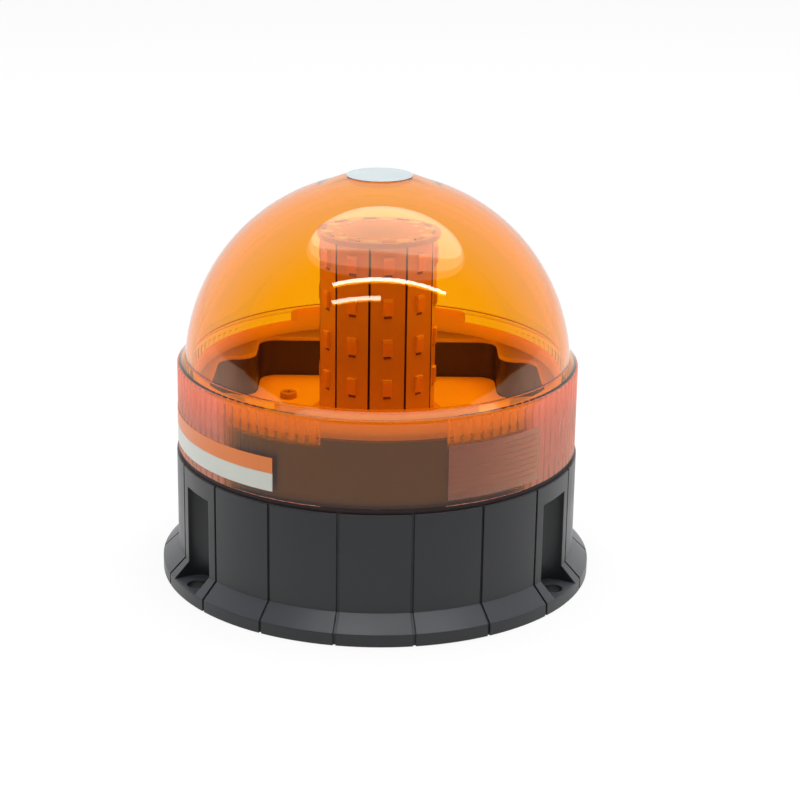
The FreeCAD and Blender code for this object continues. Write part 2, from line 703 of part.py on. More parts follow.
# %% Lens seal
seal = Piece("lens_seal")
PIECES.append(seal.body)
seal_outline = seal.sketch("seal_outline", height=size.deck_top)
add_circle(seal_outline, lens_radius - 0.4)
add_circle(seal_outline, ring_radius + 0.5)
seal.pad("seal", seal_outline, size.seal_thickness)

# %% Amber lens: collar, dome, prism ribs and lugs in one moulding
lens = Piece("lens")
PIECES.append(lens.body)
dome_inner = dome_radius - size.lens_wall
land_foot = dome_top - size.land_rise
dome_centre = land_foot - beside(dome_radius, size.land_radius)
collar_inner_top = collar_top - size.lens_wall - size.lens_wall / 4
section = lens.sketch("lens_section", "XZ_Plane")
centre_point = Vector(0, float(dome_centre), 0)


def dome_arc(radius, low_z, high_x, high_z):
    """Adds an arc about the dome's centre, from the height low_z up to the point (high_x, high_z)."""
    low_angle = math.asin((float(low_z) - float(dome_centre)) / float(radius))
    high_angle = math.atan2(float(high_z) - float(dome_centre), float(high_x))
    circle = Part.Circle(centre_point, Vector(0, 0, 1), float(radius))
    arc = section.addGeometry(Part.ArcOfCircle(circle, low_angle, high_angle))
    pin(section, arc, 3, 0.0, dome_centre)
    constrain(section, "Radius", arc, radius)
    return arc


outer_foot_x = beside(dome_radius, collar_top - dome_centre)
inner_foot_x = beside(dome_inner, collar_top - dome_centre)
inner_top_z = dome_centre + dome_inner
outer_arc = dome_arc(dome_radius, collar_top, size.land_radius, land_foot)
inner_arc = dome_arc(dome_inner, collar_top, 0.0, inner_top_z)
rim_x = lens_radius - size.collar_round
rim_z = collar_top - size.collar_round
rim_circle = Part.Circle(Vector(float(rim_x), float(rim_z), 0), Vector(0, 0, 1), float(size.collar_round))
rim_arc = section.addGeometry(Part.ArcOfCircle(rim_circle, 0.0, math.pi / 2))
pin(section, rim_arc, 3, rim_x, rim_z)
pin(section, rim_arc, 1, None, rim_z)
pin(section, rim_arc, 2, rim_x, None)
constrain(section, "Radius", rim_arc, size.collar_round)


def joining_line(start, end):
    return section.addGeometry(Part.LineSegment(Vector(float(start[0]), float(start[1]), 0),
                                                Vector(float(end[0]), float(end[1]), 0)))


crown = joining_line((0.0, dome_top), (size.land_radius, dome_top))
land_side = joining_line((size.land_radius, dome_top), (size.land_radius, land_foot))
ledge = joining_line((outer_foot_x, collar_top), (rim_x, collar_top))
outer_wall = joining_line((lens_radius, rim_z), (lens_radius, lens_bottom))
foot = joining_line((lens_radius, lens_bottom), (lens_inner, lens_bottom))
inner_wall = joining_line((lens_inner, lens_bottom), (lens_inner, collar_inner_top))
shoulder = joining_line((lens_inner, collar_inner_top), (inner_foot_x, collar_top))
core = joining_line((0.0, inner_top_z), (0.0, dome_top))
joints = [
    (crown, "end", land_side, "start"), (land_side, "end", outer_arc, "end"), (outer_arc, "start", ledge, "start"),
    (ledge, "end", rim_arc, "end"), (rim_arc, "start", outer_wall, "start"), (outer_wall, "end", foot, "start"),
    (foot, "end", inner_wall, "start"), (inner_wall, "end", shoulder, "start"),
    (shoulder, "end", inner_arc, "start"), (inner_arc, "end", core, "start"), (core, "end", crown, "start"),
]
for first, first_end, second, second_end in joints:
    section.addConstraint(Sketcher.Constraint("Coincident", first, 1 if first_end == "start" else 2,
                                              second, 1 if second_end == "start" else 2))
pin(section, crown, 1, 0.0, dome_top)
pin(section, crown, 2, size.land_radius, dome_top)
section.addConstraint(Sketcher.Constraint("Vertical", land_side))
pin(section, ledge, 1, None, collar_top)
pin(section, foot, 1, lens_radius, lens_bottom)
pin(section, inner_wall, 1, lens_inner, lens_bottom)
pin(section, shoulder, 1, lens_inner, collar_inner_top)
pin(section, inner_arc, 1, None, collar_top)
section.addConstraint(Sketcher.Constraint("PointOnObject", inner_arc, 2, -2))
lens.revolve("shell_of_lens", section)
land_outline = lens.sketch("land_outline", height=dome_top)
add_circle(land_outline, size.land_radius - size.land_edge)
lens.pocket("land", land_outline, size.land_depth)

lug_section = lens.sketch("lug_section", "XZ_Plane", turn=size.lock_turn)
add_outline(lug_section, rectangle(lens_inner - size.lug_depth, lens_inner + size.lens_wall / 2,
                                   lug_bottom, lug_bottom + size.lug_height))
lug = lens.revolve("lug", lug_section, size.lug_angle, symmetric=True)
lens.repeat("lugs", [lug], 3)

rib_low = lens_bottom + size.prism_foot
rib_high = collar_inner_top - 0.5
first_rib = size.window_end
rib_span = as_size(360.0) - (size.window_end - size.window_start)
rib_steps = int(float(rib_span) / float(size.prism_pitch))
rib_outline = lens.sketch("rib_outline", height=rib_low)
root_radius = lens_inner + size.prism_depth
half_pitch = size.prism_pitch * 0.42
front = as_size(-90.0)
add_outline(rib_outline, [
    polar(root_radius, front + first_rib - half_pitch),
    polar(lens_inner - size.prism_depth, front + first_rib),
    polar(root_radius, front + first_rib + half_pitch),
])
rib = lens.pad("prism_rib", rib_outline, rib_high - rib_low)
lens.repeat("prism_ribs", [rib], rib_steps + 1, rib_steps * float(size.prism_pitch))

# %% Reflector deck and its screws
deck = Piece("reflector_deck")
PIECES.append(deck.body)
deck_outline = deck.sketch("deck_outline", height=well_floor)
stepped_outline(deck_outline, -size.deck_clearance)
deck.pad("deck", deck_outline, size.deck_thickness)
deck.round_edges("deck_corners", size.well_corner, lambda edge: upright_edge(
    edge, well_floor, reflector_top, ring_radius))
deck_holes = deck.sketch("deck_holes", height=reflector_top)
add_circle(deck_holes, header_half * 1.3)
for x, y in DECK_SCREWS:
    add_circle(deck_holes, pilot_radius + 0.2, x, y)
deck.pocket("deck_cuts", deck_holes, size.deck_thickness)
group("deck_screws", [
    screw("deck_screw_%d" % number, x, y, reflector_top,
          size.deck_thickness + size.ring_wall + 1.0, False)
    for number, (x, y) in enumerate(DECK_SCREWS, start=1)
])

# %% Driver board with its parts hanging below it
board = Piece("driver_board")
PIECES.append(board.body)
board_outline = board.sketch("board_outline", height=board_bottom)
add_circle(board_outline, board_radius)
board.pad("board", board_outline, size.board_thickness)
board_hole_outline = board.sketch("board_hole_outline", height=board_top)
hole_x, hole_y = polar(board_boss_circle, 45.0)
add_circle(board_hole_outline, pilot_radius + 0.2, hole_x, hole_y)
board_hole = board.pocket("board_hole", board_hole_outline, size.board_thickness)
board.repeat("board_holes", [board_hole], 4)

board_screws = []
for number, angle in enumerate((45.0, 135.0, 225.0, 315.0), start=1):
    x, y = polar(board_boss_circle, angle)
    board_screws.append(screw("board_screw_%d" % number, x, y, board_bottom,
                              size.board_thickness + size.standoff + 0.5, True, recessed=False))
group("driver_board_screws", board_screws)


def on_board(across, along):
    """A place on the driver board, in shares of its radius."""
    return board_radius * across, board_radius * along


def capacitor(number, along):
    x, y = on_board(-0.463, along)
    return solid_cylinder("capacitor_%d" % number, size.capacitor_radius, size.capacitor_height, x, y,
                          board_bottom - size.capacitor_height)


group("driver_capacitors", [capacitor(1, 0.168), capacitor(2, -0.084), capacitor(3, -0.337)])

coil_x, coil_y = on_board(0.337, 0.379)
coil = fused("driver_coil", [
    solid_cylinder("coil_upper_flange", size.coil_radius, size.coil_flange, coil_x, coil_y,
                   board_bottom - size.coil_flange),
    solid_cylinder("coil_winding", size.coil_radius - size.coil_flange, size.coil_height, coil_x, coil_y,
                   board_bottom - size.coil_height),
    solid_cylinder("coil_lower_flange", size.coil_radius, size.coil_flange, coil_x, coil_y,
                   board_bottom - size.coil_height),
])
coil.Label = "driver_coil"
PIECES.append(coil)


def chip(number, across, along, turn=0.0):
    x, y = on_board(across, along)
    length, width = (size.chip_length, size.chip_width) if turn == 0.0 else (size.chip_width, size.chip_length)
    return solid_box("chip_%d" % number, length, width, size.chip_height, x, y, board_bottom - size.chip_height)


group("driver_chips", [chip(1, 0.0, 0.42), chip(2, 0.042, -0.463), chip(3, 0.505, -0.126, 90.0)])

terminal_x, terminal_y = on_board(0.168, -0.758)
terminal = solid_box("terminal_blank", size.terminal_length, size.terminal_width, size.terminal_height,
                     terminal_x, terminal_y, board_bottom - size.terminal_height)
mouth_y = terminal_y - size.terminal_width / 2 + size.terminal_mouth / 2 - 0.1
mouth_low = board_bottom - size.terminal_height + size.terminal_mouth / 2
mouth_pitch = size.terminal_length * 0.31
terminal_mouths = [
    solid_box("terminal_mouth_%d" % number, size.terminal_mouth, size.terminal_mouth, size.terminal_mouth,
              terminal_x + offset, mouth_y, mouth_low)
    for number, offset in enumerate((-mouth_pitch, as_size(0.0), mouth_pitch), start=1)
]
power_terminal = cut("power_terminal", terminal, fused("terminal_mouths", terminal_mouths))
power_terminal.Label = "power_terminal"
PIECES.append(power_terminal)
tower_header = solid_box("tower_header", size.header_length, size.header_width, reflector_top - board_top,
                         0.0, 0.0, board_top)
tower_header.Label = "tower_header"
PIECES.append(tower_header)

# %% LED tower: foot board, ten upright boards, four rows of LEDs and the slotted top board
foot_board = solid_cylinder("tower_foot_board", tower_corner + size.foot_margin, size.board_thickness,
                            0.0, 0.0, reflector_top)
foot_board.Label = "tower_foot_board"
PIECES.append(foot_board)

strip_total = int(round(float(size.strip_count)))
strip_turns = [float(size.tower_turn) + 360.0 / strip_total * index for index in range(strip_total)]
strip_middle = strip_inner + size.strip_thickness / 2
for number, turn in enumerate(strip_turns, start=1):
    name = "led_board_%02d" % number
    blade = solid_box(name + "_blade", size.strip_thickness, size.strip_width, cap_bottom - foot_top,
                      strip_middle, 0.0, foot_top, turn)
    tab = solid_box(name + "_tab", size.strip_thickness, size.tab_width, size.board_thickness + size.tab_rise,
                    strip_middle, 0.0, cap_bottom, turn)
    strip = fused(name, [blade, tab])
    strip.Label = name
    PIECES.append(strip)

for row_number in range(1, int(round(float(size.led_rows))) + 1):
    middle = reflector_top + size.led_first + led_pitch * (row_number - 1)
    group("led_row_%d" % row_number, [
        solid_box("led_%d_%02d" % (row_number, number), size.led_depth, size.led_width, size.led_height,
                  strip_outer + size.led_depth / 2, 0.0, middle - size.led_height / 2, turn)
        for number, turn in enumerate(strip_turns, start=1)
    ])

cap_blank = solid_cylinder("cap_blank", tower_corner + size.cap_margin, size.board_thickness,
                           0.0, 0.0, cap_bottom)
cap_slots = [
    solid_box("cap_slot_%02d" % number, size.strip_thickness + size.tab_play * 2, size.tab_width + size.tab_play * 2,
              size.board_thickness, strip_middle, 0.0, cap_bottom, turn)
    for number, turn in enumerate(strip_turns, start=1)
]
cap = cut("tower_top_board", cap_blank, fused("cap_slots", cap_slots))
cap.Label = "tower_top_board"
PIECES.append(cap)

# %% Check every object, then write one file for each piece
doc.recompute()
for obj in doc.Objects:
    if "Invalid" in obj.State or "Error" in obj.State:
        raise RuntimeError("%s failed to build: %s" % (obj.Name, obj.State))
os.makedirs("parts", exist_ok=True)
for piece in PIECES:
    shape = piece.Shape
    if shape.isNull() or not shape.isValid():
        raise RuntimeError("%s has no valid shape" % piece.Label)
    shape.exportStep(os.path.join("parts", piece.Label + ".step"))
    box = shape.BoundBox
    print("%-20s solids %2d faces %4d volume %9.1f z %6.2f..%6.2f" % (
        piece.Label, len(shape.Solids), len(shape.Faces), shape.Volume, box.ZMin, box.ZMax))
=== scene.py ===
# %% [markdown]
# # An amber warning beacon
#
# The object is a lamp that bolts to a machine: a black moulded base, a clear amber lens and, inside the
# lens, a ten-sided tower of LED boards. The CAD model already holds every solid at its real size. This
# file adds what CAD leaves out: the materials, the smooth glossy lens, the stickers and the marks on the
# circuit boards, among them painted shadows below the LEDs. Everything is in metres, in the CAD model's
# own frame.

# %% Load the imported model
import json
import math

import bmesh
import bpy
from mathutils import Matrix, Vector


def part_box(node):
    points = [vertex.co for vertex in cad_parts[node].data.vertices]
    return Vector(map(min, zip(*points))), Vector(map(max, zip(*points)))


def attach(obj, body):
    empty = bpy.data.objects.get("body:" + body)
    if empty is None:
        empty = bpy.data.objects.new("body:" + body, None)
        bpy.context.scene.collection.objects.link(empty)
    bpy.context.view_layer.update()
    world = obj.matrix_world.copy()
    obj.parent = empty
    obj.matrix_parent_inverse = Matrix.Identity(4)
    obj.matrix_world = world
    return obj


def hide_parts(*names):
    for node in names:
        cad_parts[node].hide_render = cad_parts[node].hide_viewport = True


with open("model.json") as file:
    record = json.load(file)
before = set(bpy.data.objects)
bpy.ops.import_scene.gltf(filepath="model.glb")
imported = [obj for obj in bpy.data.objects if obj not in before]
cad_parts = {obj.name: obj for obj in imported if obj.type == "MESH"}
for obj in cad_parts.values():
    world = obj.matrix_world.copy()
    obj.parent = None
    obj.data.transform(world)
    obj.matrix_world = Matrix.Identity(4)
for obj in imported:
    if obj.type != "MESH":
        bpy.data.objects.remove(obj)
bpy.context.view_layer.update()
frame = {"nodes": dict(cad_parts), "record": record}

MM = 0.001
nodes = frame["nodes"]

# %% [markdown]
# Colours are written as sRGB hex values, the way a paint chart or a colour picker gives them. Blender
# works with linear light, where half the number is half the light, so one function turns each value
# over. Linear values could be typed in directly, but nobody can read a colour from them.

# %% From a hex colour to linear light
def linear(hex_value):
    """sRGB hex such as "#DE7A35" as linear red, green, blue and an alpha of 1."""
    channels = [int(hex_value[start:start + 2], 16) / 255 for start in (1, 3, 5)]
    return [c / 12.92 if c <= 0.04045 else ((c + 0.055) / 1.055) ** 2.4 for c in channels] + [1.0]


print("amber in linear light:", [round(c, 3) for c in linear("#FFA040")])

# %% [markdown]
# Every material, and the world too, is a tree of nodes. One small function adds a node of any kind, sets
# its properties, and then fills each input with a value or links it to another node's output. A function
# for each kind of node would hide what Blender calls it. The world's tree is the first to be built, and
# its first node tells in which direction a ray leaves the scene; Y points backwards, away from the camera.

# %% Adding a node
def add_node(tree, kind, inputs=None, **settings):
    """Adds a node, sets its properties, and fills or links its inputs."""
    made = tree.nodes.new(kind)
    for name, value in settings.items():
        setattr(made, name, value)
    for name, value in (inputs or {}).items():
        if isinstance(value, bpy.types.NodeSocket):
            tree.links.new(value, made.inputs[name])
        else:
            made.inputs[name].default_value = value
    return made


world = bpy.data.worlds.new("white_studio")
bpy.context.scene.world = world
world.use_nodes = True
air = world.node_tree
air.nodes.clear()
looking = add_node(air, "ShaderNodeTexCoord").outputs["Generated"]
backwards = add_node(air, "ShaderNodeSeparateXYZ", {"Vector": looking}).outputs["Y"]
print("nodes in the world so far:", [node.bl_label for node in air.nodes])

# %% [markdown]
# The photograph was taken in a white studio. Behind the object and beside it everything is white, and
# the side where the camera stands is dark. A glossy dome shows all of that, so the world gets the same
# layout: bright behind, fading to dim in front. For reflections the fade lies further back and ends
# darker than for plain light. To the camera itself the world is plain white. A picture of a real studio
# could be wrapped round the scene instead, but two fades are enough and stay easy to change.

# %% Studio world
WHITE = linear("#FFFFFF")
BRIGHT_BEHIND = 1.0
DIM_IN_FRONT, SOFT_FADE = 0.25, (-0.55, 0.25)
DARK_IN_GLOSS, GLOSS_FADE = 0.02, (-0.2, 0.65)

eye = add_node(air, "ShaderNodeLightPath")
soft_level, gloss_level = (
    add_node(air, "ShaderNodeMapRange", {
        "Value": backwards, "From Min": fade[0], "From Max": fade[1],
        "To Min": lowest, "To Max": BRIGHT_BEHIND}, interpolation_type="SMOOTHSTEP")
    for lowest, fade in ((DIM_IN_FRONT, SOFT_FADE), (DARK_IN_GLOSS, GLOSS_FADE)))
level = add_node(air, "ShaderNodeMix", {
    "Factor": eye.outputs["Is Glossy Ray"], "A": soft_level.outputs["Result"],
    "B": gloss_level.outputs["Result"]})
shown = add_node(air, "ShaderNodeBackground", {"Color": WHITE, "Strength": 1.0})
lighting = add_node(air, "ShaderNodeBackground", {"Color": WHITE, "Strength": level.outputs["Result"]})
choice = add_node(air, "ShaderNodeMixShader", {
    0: eye.outputs["Is Camera Ray"], 1: lighting.outputs[0], 2: shown.outputs[0]})
add_node(air, "ShaderNodeOutputWorld", {"Surface": choice.outputs[0]})
print("nodes in the world:", len(air.nodes))

# %% [markdown]
# Each material below starts empty, with its output node and with the Object coordinates, which are the
# place on the object in metres. They need no unwrapping, and they stay with a piece that moves.

# %% An empty material
def new_material(name):
    """An empty node material with its tree, its output and its object coordinates in metres."""
    material = bpy.data.materials.new(name)
    material.use_nodes = True
    tree = material.node_tree
    tree.nodes.clear()
    output = add_node(tree, "ShaderNodeOutputMaterial")
    place = add_node(tree, "ShaderNodeTexCoord").outputs["Object"]
    return material, tree, output, place


paper_material, tree, output, place = new_material("white_sweep_paper")
print("new material:", paper_material.name)

# %% [markdown]
# The object stands on matt white paper. Matt paper under soft light is not quite white, so the camera,
# the reflections and the view through the lens see it mixed with a white glow, and all other light sees
# plain paper. The object's shadow still shows in the share that is left to the paper. In reflections and
# through the lens the glow is weaker in front of the object, because that end of the studio is dim.

# %% White paper
GLOW_SHARE, GLOW_IN_FRONT = 0.85, 0.6
GLOW_FADE = (-0.12, 0.02)

path = add_node(tree, "ShaderNodeLightPath")
seen = path.outputs["Is Camera Ray"]
for ray in ("Is Glossy Ray", "Is Transmission Ray"):
    seen = add_node(tree, "ShaderNodeMath", {0: seen, 1: path.outputs[ray]},
                    operation="MAXIMUM").outputs[0]
paper = add_node(tree, "ShaderNodeBsdfDiffuse", {"Color": linear("#F4F4F4"), "Roughness": 0.6})
depth = add_node(tree, "ShaderNodeSeparateXYZ", {"Vector": place})
level = add_node(tree, "ShaderNodeMapRange", {
    "Value": depth.outputs["Y"], "From Min": GLOW_FADE[0], "From Max": GLOW_FADE[1],
    "To Min": GLOW_IN_FRONT, "To Max": 1.0})
level = add_node(tree, "ShaderNodeMath", {
    0: level.outputs["Result"], 1: path.outputs["Is Camera Ray"]}, operation="MAXIMUM")
glow = add_node(tree, "ShaderNodeEmission", {"Color": WHITE, "Strength": level.outputs[0]})
blend = add_node(tree, "ShaderNodeMixShader", {0: GLOW_SHARE, 1: paper.outputs[0], 2: glow.outputs[0]})
choice = add_node(tree, "ShaderNodeMixShader", {0: seen, 1: paper.outputs[0], 2: blend.outputs[0]})
tree.links.new(choice.outputs[0], output.inputs["Surface"])
print("nodes in the paper:", len(tree.nodes))

# %% [markdown]
# The sheet is one flat face. It reaches far behind and to both sides, but ends a little in front of the
# object, so that the dome mirrors the dark side of the studio there. It lies a hair below the base, so
# the two never share a plane, which would show as blotches.

# %% Floor
PAPER_FRONT, PAPER_BACK, PAPER_SIDE = -0.32, 3.0, 3.0
PAPER_DROP = 0.0002

floor_mesh = bpy.data.meshes.new("floor")
floor_corners = [(-PAPER_SIDE, PAPER_FRONT, 0), (PAPER_SIDE, PAPER_FRONT, 0),
                 (PAPER_SIDE, PAPER_BACK, 0), (-PAPER_SIDE, PAPER_BACK, 0)]
floor_mesh.from_pydata(floor_corners, [], [(0, 1, 2, 3)])
floor_mesh.materials.append(paper_material)
floor = bpy.data.objects.new("floor", floor_mesh)
floor.location.z = -PAPER_DROP
bpy.context.scene.collection.objects.link(floor)
print("paper in front of the axis: %.0f mm" % (-PAPER_FRONT / MM))

# %% [markdown]
# A large soft box hangs over the object, and the dome mirrors it as a wide pale patch that is brightest
# at the top and fades downwards. Blender's area lamps are even, so three oval ones overlap, each ending
# sooner towards the front than the last. A narrow lamp along their front gives the patch its bright lower
# edge, and a small strip further forward gives the short stroke below it.

# %% Soft boxes
LAMPS = (
    ("overhead_soft_box", (0.10, 0.10, 1.15), 1.60, 1.14, 3.0, "ELLIPSE"),
    ("overhead_soft_box_middle", (0.10, 0.16, 1.14), 1.50, 0.98, 4.2, "ELLIPSE"),
    ("overhead_soft_box_back", (0.10, 0.27, 1.13), 1.40, 0.76, 4.6, "ELLIPSE"),
    ("soft_box_front_edge", (0.16, -0.47, 1.14), 1.34, 0.05, 3.2, "RECTANGLE"),
    ("small_strip", (-0.29, -0.755, 1.15), 0.64, 0.07, 1.5, "RECTANGLE"),
)
for name, place, width, depth, watts, outline in LAMPS:
    data = bpy.data.lights.new(name, "AREA")
    data.shape = outline
    data.size, data.size_y, data.energy = width, depth, watts
    lamp = bpy.data.objects.new(name, data)
    lamp.location = place
    bpy.context.scene.collection.objects.link(lamp)
print("lamps: %d, %.1f W together" % (len(LAMPS), sum(lamp.energy for lamp in bpy.data.lights)))

# %% [markdown]
# The camera was worked out from the ellipses in the photograph: a 95 mm lens, 65 cm from the object,
# looking down by 18 degrees. The small shift puts the object where the photograph frames it.

# %% Camera
IMAGE_WIDTH, SENSOR_WIDTH = 800, 36.0
FOCAL_PX = 2107.0
AXIS_PX = (377.15, 398.5)
CAMERA_PLACE = (0.0, -0.650, 0.2689)
PITCH, ROLL = 0.3165, 0.0117

camera_data = bpy.data.cameras.new("camera")
camera_data.sensor_width = SENSOR_WIDTH
camera_data.lens = SENSOR_WIDTH * FOCAL_PX / IMAGE_WIDTH
camera_data.shift_x = (IMAGE_WIDTH / 2 - AXIS_PX[0]) / IMAGE_WIDTH
camera_data.shift_y = (AXIS_PX[1] - IMAGE_WIDTH / 2) / IMAGE_WIDTH
camera = bpy.data.objects.new("camera", camera_data)
camera.location = CAMERA_PLACE
camera.rotation_mode = "XYZ"
camera.rotation_euler = (math.pi / 2 - PITCH, 0.0, 0.0)
camera.rotation_euler.rotate_axis("Z", ROLL)
bpy.context.scene.collection.objects.link(camera)
bpy.context.scene.camera = camera
bpy.context.scene.view_settings.view_transform = "Standard"
print("lens %.1f mm" % camera_data.lens)

# %% [markdown]
# The base is ABS, injection moulded in a spark-eroded mould. Such a skin is a field of tiny pits, about
# a quarter of a millimetre across, that spreads each highlight into a soft sheen: roughness 0.37, with a
# bump only 0.03 mm deep. The black is dyed through, so the colour hardly varies. Faces that lean upwards
# are painted a little greyer: a painted sheen that stands in for the soft box above. The Bevel node rounds
# the edges in the shading alone, because the CAD mesh itself stays as it is.

# %% Moulded plastic
CLOUD_MM = 18.0
ROUGHNESS_SPREAD, CLOUD_RANGE = 0.04, (0.3, 0.7)
PAINTED_SHEEN_FADE = (0.15, 0.5)


def per_metre(size_in_mm):
    """Noise scale that gives features of about this size."""
    return 1.0 / (size_in_mm * MM)


def moulded_plastic(name, colour, roughness, grain_mm, grain_depth_mm, ior=1.54, mottling=0.12,
                    edge_mm=0.3, painted_sheen=None):
    """Dyed plastic with a grained skin; painted_sheen is a painted sheen colour for faces that lean
    upwards.
    """
    material, tree, output, place = new_material(name)
    grain = add_node(tree, "ShaderNodeTexNoise", {
        "Vector": place, "Scale": per_metre(grain_mm), "Detail": 2.0})
    cloud = add_node(tree, "ShaderNodeTexNoise", {
        "Vector": place, "Scale": per_metre(CLOUD_MM), "Detail": 3.0})
    base = linear(colour)
    pale = [min(1.0, c * (1 + mottling)) for c in base[:3]] + [1.0]
    dark = [c * (1 - mottling) for c in base[:3]] + [1.0]
    tone = add_node(tree, "ShaderNodeMix", {
        "Factor": cloud.outputs["Fac"], "A": dark, "B": pale}, data_type="RGBA")
    # Painted sheen: faces that lean upwards get a paler colour, standing in for the light of the soft box
    # above.
    if painted_sheen:
        facing = add_node(tree, "ShaderNodeTexCoord").outputs["Normal"]
        upward = add_node(tree, "ShaderNodeSeparateXYZ", {"Vector": facing}).outputs["Z"]
        painted_sheen_share = add_node(tree, "ShaderNodeMapRange", {
            "Value": upward, "From Min": PAINTED_SHEEN_FADE[0], "From Max": PAINTED_SHEEN_FADE[1]})
        tone = add_node(tree, "ShaderNodeMix", {
            "Factor": painted_sheen_share.outputs["Result"], "A": tone.outputs["Result"], "B": linear(painted_sheen)},
            data_type="RGBA")
    shine = add_node(tree, "ShaderNodeMapRange", {
        "Value": cloud.outputs["Fac"], "From Min": CLOUD_RANGE[0], "From Max": CLOUD_RANGE[1],
        "To Min": roughness - ROUGHNESS_SPREAD, "To Max": roughness + ROUGHNESS_SPREAD})
    edges = add_node(tree, "ShaderNodeBevel", {"Radius": edge_mm * MM}, samples=4)
    skin = add_node(tree, "ShaderNodeBump", {
        "Height": grain.outputs["Fac"], "Strength": 0.5, "Distance": grain_depth_mm * MM,
        "Normal": edges.outputs["Normal"]})
    surface = add_node(tree, "ShaderNodeBsdfPrincipled", {
        "Base Color": tone.outputs["Result"], "Roughness": shine.outputs["Result"], "IOR": ior,
        "Normal": skin.outputs["Normal"]})
    tree.links.new(surface.outputs[0], output.inputs["Surface"])
    return material


# %% Black ABS of the base
# The #404248 on the faces that lean upwards is a painted sheen, not wear.
black_abs = moulded_plastic("black_abs_spark_eroded", "#26282B", 0.37, 0.28, 0.03, edge_mm=0.5,
                            painted_sheen="#404248")
print("nodes in the black ABS:", len(black_abs.node_tree.nodes))

# %% [markdown]
# The ring inside the lens is the same black ABS, from a smooth mould. The light that reaches it is amber,
# so its black is a warm one. The seal is EPDM rubber: a lower index than ABS, and rough enough that it
# shows no highlight. The deck under the tower is pale ABS in a warm white, matched behind the amber.

# %% Inner ring, seal and deck
inner_abs = moulded_plastic("black_abs_smooth", "#3B2A29", 0.35, 0.6, 0.01)
seal_rubber = moulded_plastic("black_epdm_rubber", "#2B2022", 0.6, 0.3, 0.02, ior=1.5)
reflector_white = moulded_plastic("white_abs_smooth", "#E9D2B8", 0.38, 0.8, 0.006, mottling=0.03)
print("inner finishes:", inner_abs.name, seal_rubber.name, reflector_white.name)

# %% [markdown]
# The reflector's rim is a thin wall of the same pale plastic. Light from behind shines through it, so it
# seems to glow, and Blender's Translucent shader does just that. A small helper lays such a second skin
# over a finished material; the share says how much of what is seen comes from it.

# %% Thin wall of the reflector's rim
RIM_COLOUR, RIM_SHARE = "#FBEDD6", 0.72


def lay_over(material, share, skin):
    """Mixes a second skin into a finished material; share is a number or a socket."""
    tree = material.node_tree
    output = next(node for node in tree.nodes if node.type == "OUTPUT_MATERIAL")
    under = output.inputs["Surface"].links[0].from_socket
    both = add_node(tree, "ShaderNodeMixShader", {0: share, 1: under, 2: skin.outputs[0]})
    tree.links.new(both.outputs[0], output.inputs["Surface"])


rim_white = moulded_plastic("white_abs_thin", RIM_COLOUR, 0.38, 0.8, 0.006, mottling=0.02)
through = add_node(rim_white.node_tree, "ShaderNodeBsdfTranslucent", {"Color": linear(RIM_COLOUR)})
lay_over(rim_white, RIM_SHARE, through)
print("light through the rim: %.0f percent" % (100 * RIM_SHARE))

# %% [markdown]
# The lens is polycarbonate, dyed amber right through and polished, with an index of 1.585. The dye is a
# volume: the longer a ray travels inside the wall, the deeper its colour. Light from outside crosses the
# wall once to reach the tower and once more to reach the eye, which is why pale parts inside look deep
# orange. A real glass shader stops lamp light at the wall, so shadow rays and scattered light get a
# tinted see-through surface instead. Its colour is what one wall lets through.

# %% Clear dyed plastic
DYE_DENSITY, LENS_IOR = 1500.0, 1.585


def clear_plastic(name, dye_colour, shadow_colour, roughness):
    """Dyed clear plastic whose walls let lamp light through."""
    material, tree, output, place = new_material(name)
    glass = add_node(tree, "ShaderNodeBsdfPrincipled", {
        "Base Color": WHITE, "Roughness": roughness, "IOR": LENS_IOR, "Transmission Weight": 1.0})
    dye = add_node(tree, "ShaderNodeVolumeAbsorption", {
        "Color": linear(dye_colour), "Density": DYE_DENSITY})
    tree.links.new(dye.outputs[0], output.inputs["Volume"])
    passing = add_node(tree, "ShaderNodeBsdfTransparent", {"Color": linear(shadow_colour)})
    path = add_node(tree, "ShaderNodeLightPath")
    passes = add_node(tree, "ShaderNodeMath", {
        0: path.outputs["Is Shadow Ray"], 1: path.outputs["Is Diffuse Ray"]}, operation="MAXIMUM")
    choice = add_node(tree, "ShaderNodeMixShader", {
        0: passes.outputs[0], 1: glass.outputs[0], 2: passing.outputs[0]})
    tree.links.new(choice.outputs[0], output.inputs["Surface"])
    return material


amber = clear_plastic("amber_polycarbonate", "#FFEE33", "#FFF0B8", 0.012)
print("nodes in the plain amber:", len(amber.node_tree.nodes))

# %% [markdown]
# The collar of the lens is full of prism ribs, which catch light and send it on sideways. Tracing that
# truly takes very many rays, so the outer wall gets a share of plain scattered light where real ribs are
# lit. For that the material has to know where on the collar it is: how far from the axis, how high, and
# at which angle. All three come from the object's own coordinates, so the ribs turn with the lens.

# %% Where on the collar
LENS_LOW, LENS_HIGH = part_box("lens")
LENS_R = LENS_HIGH.x
COLLAR_TOP, SHOULDER = 72.0 * MM, 69.95 * MM
WINDOW = (-15.0, 19.0)
OUTER_SKIN, SHOULDER_MARGIN = 0.3 * MM, 0.03 * MM

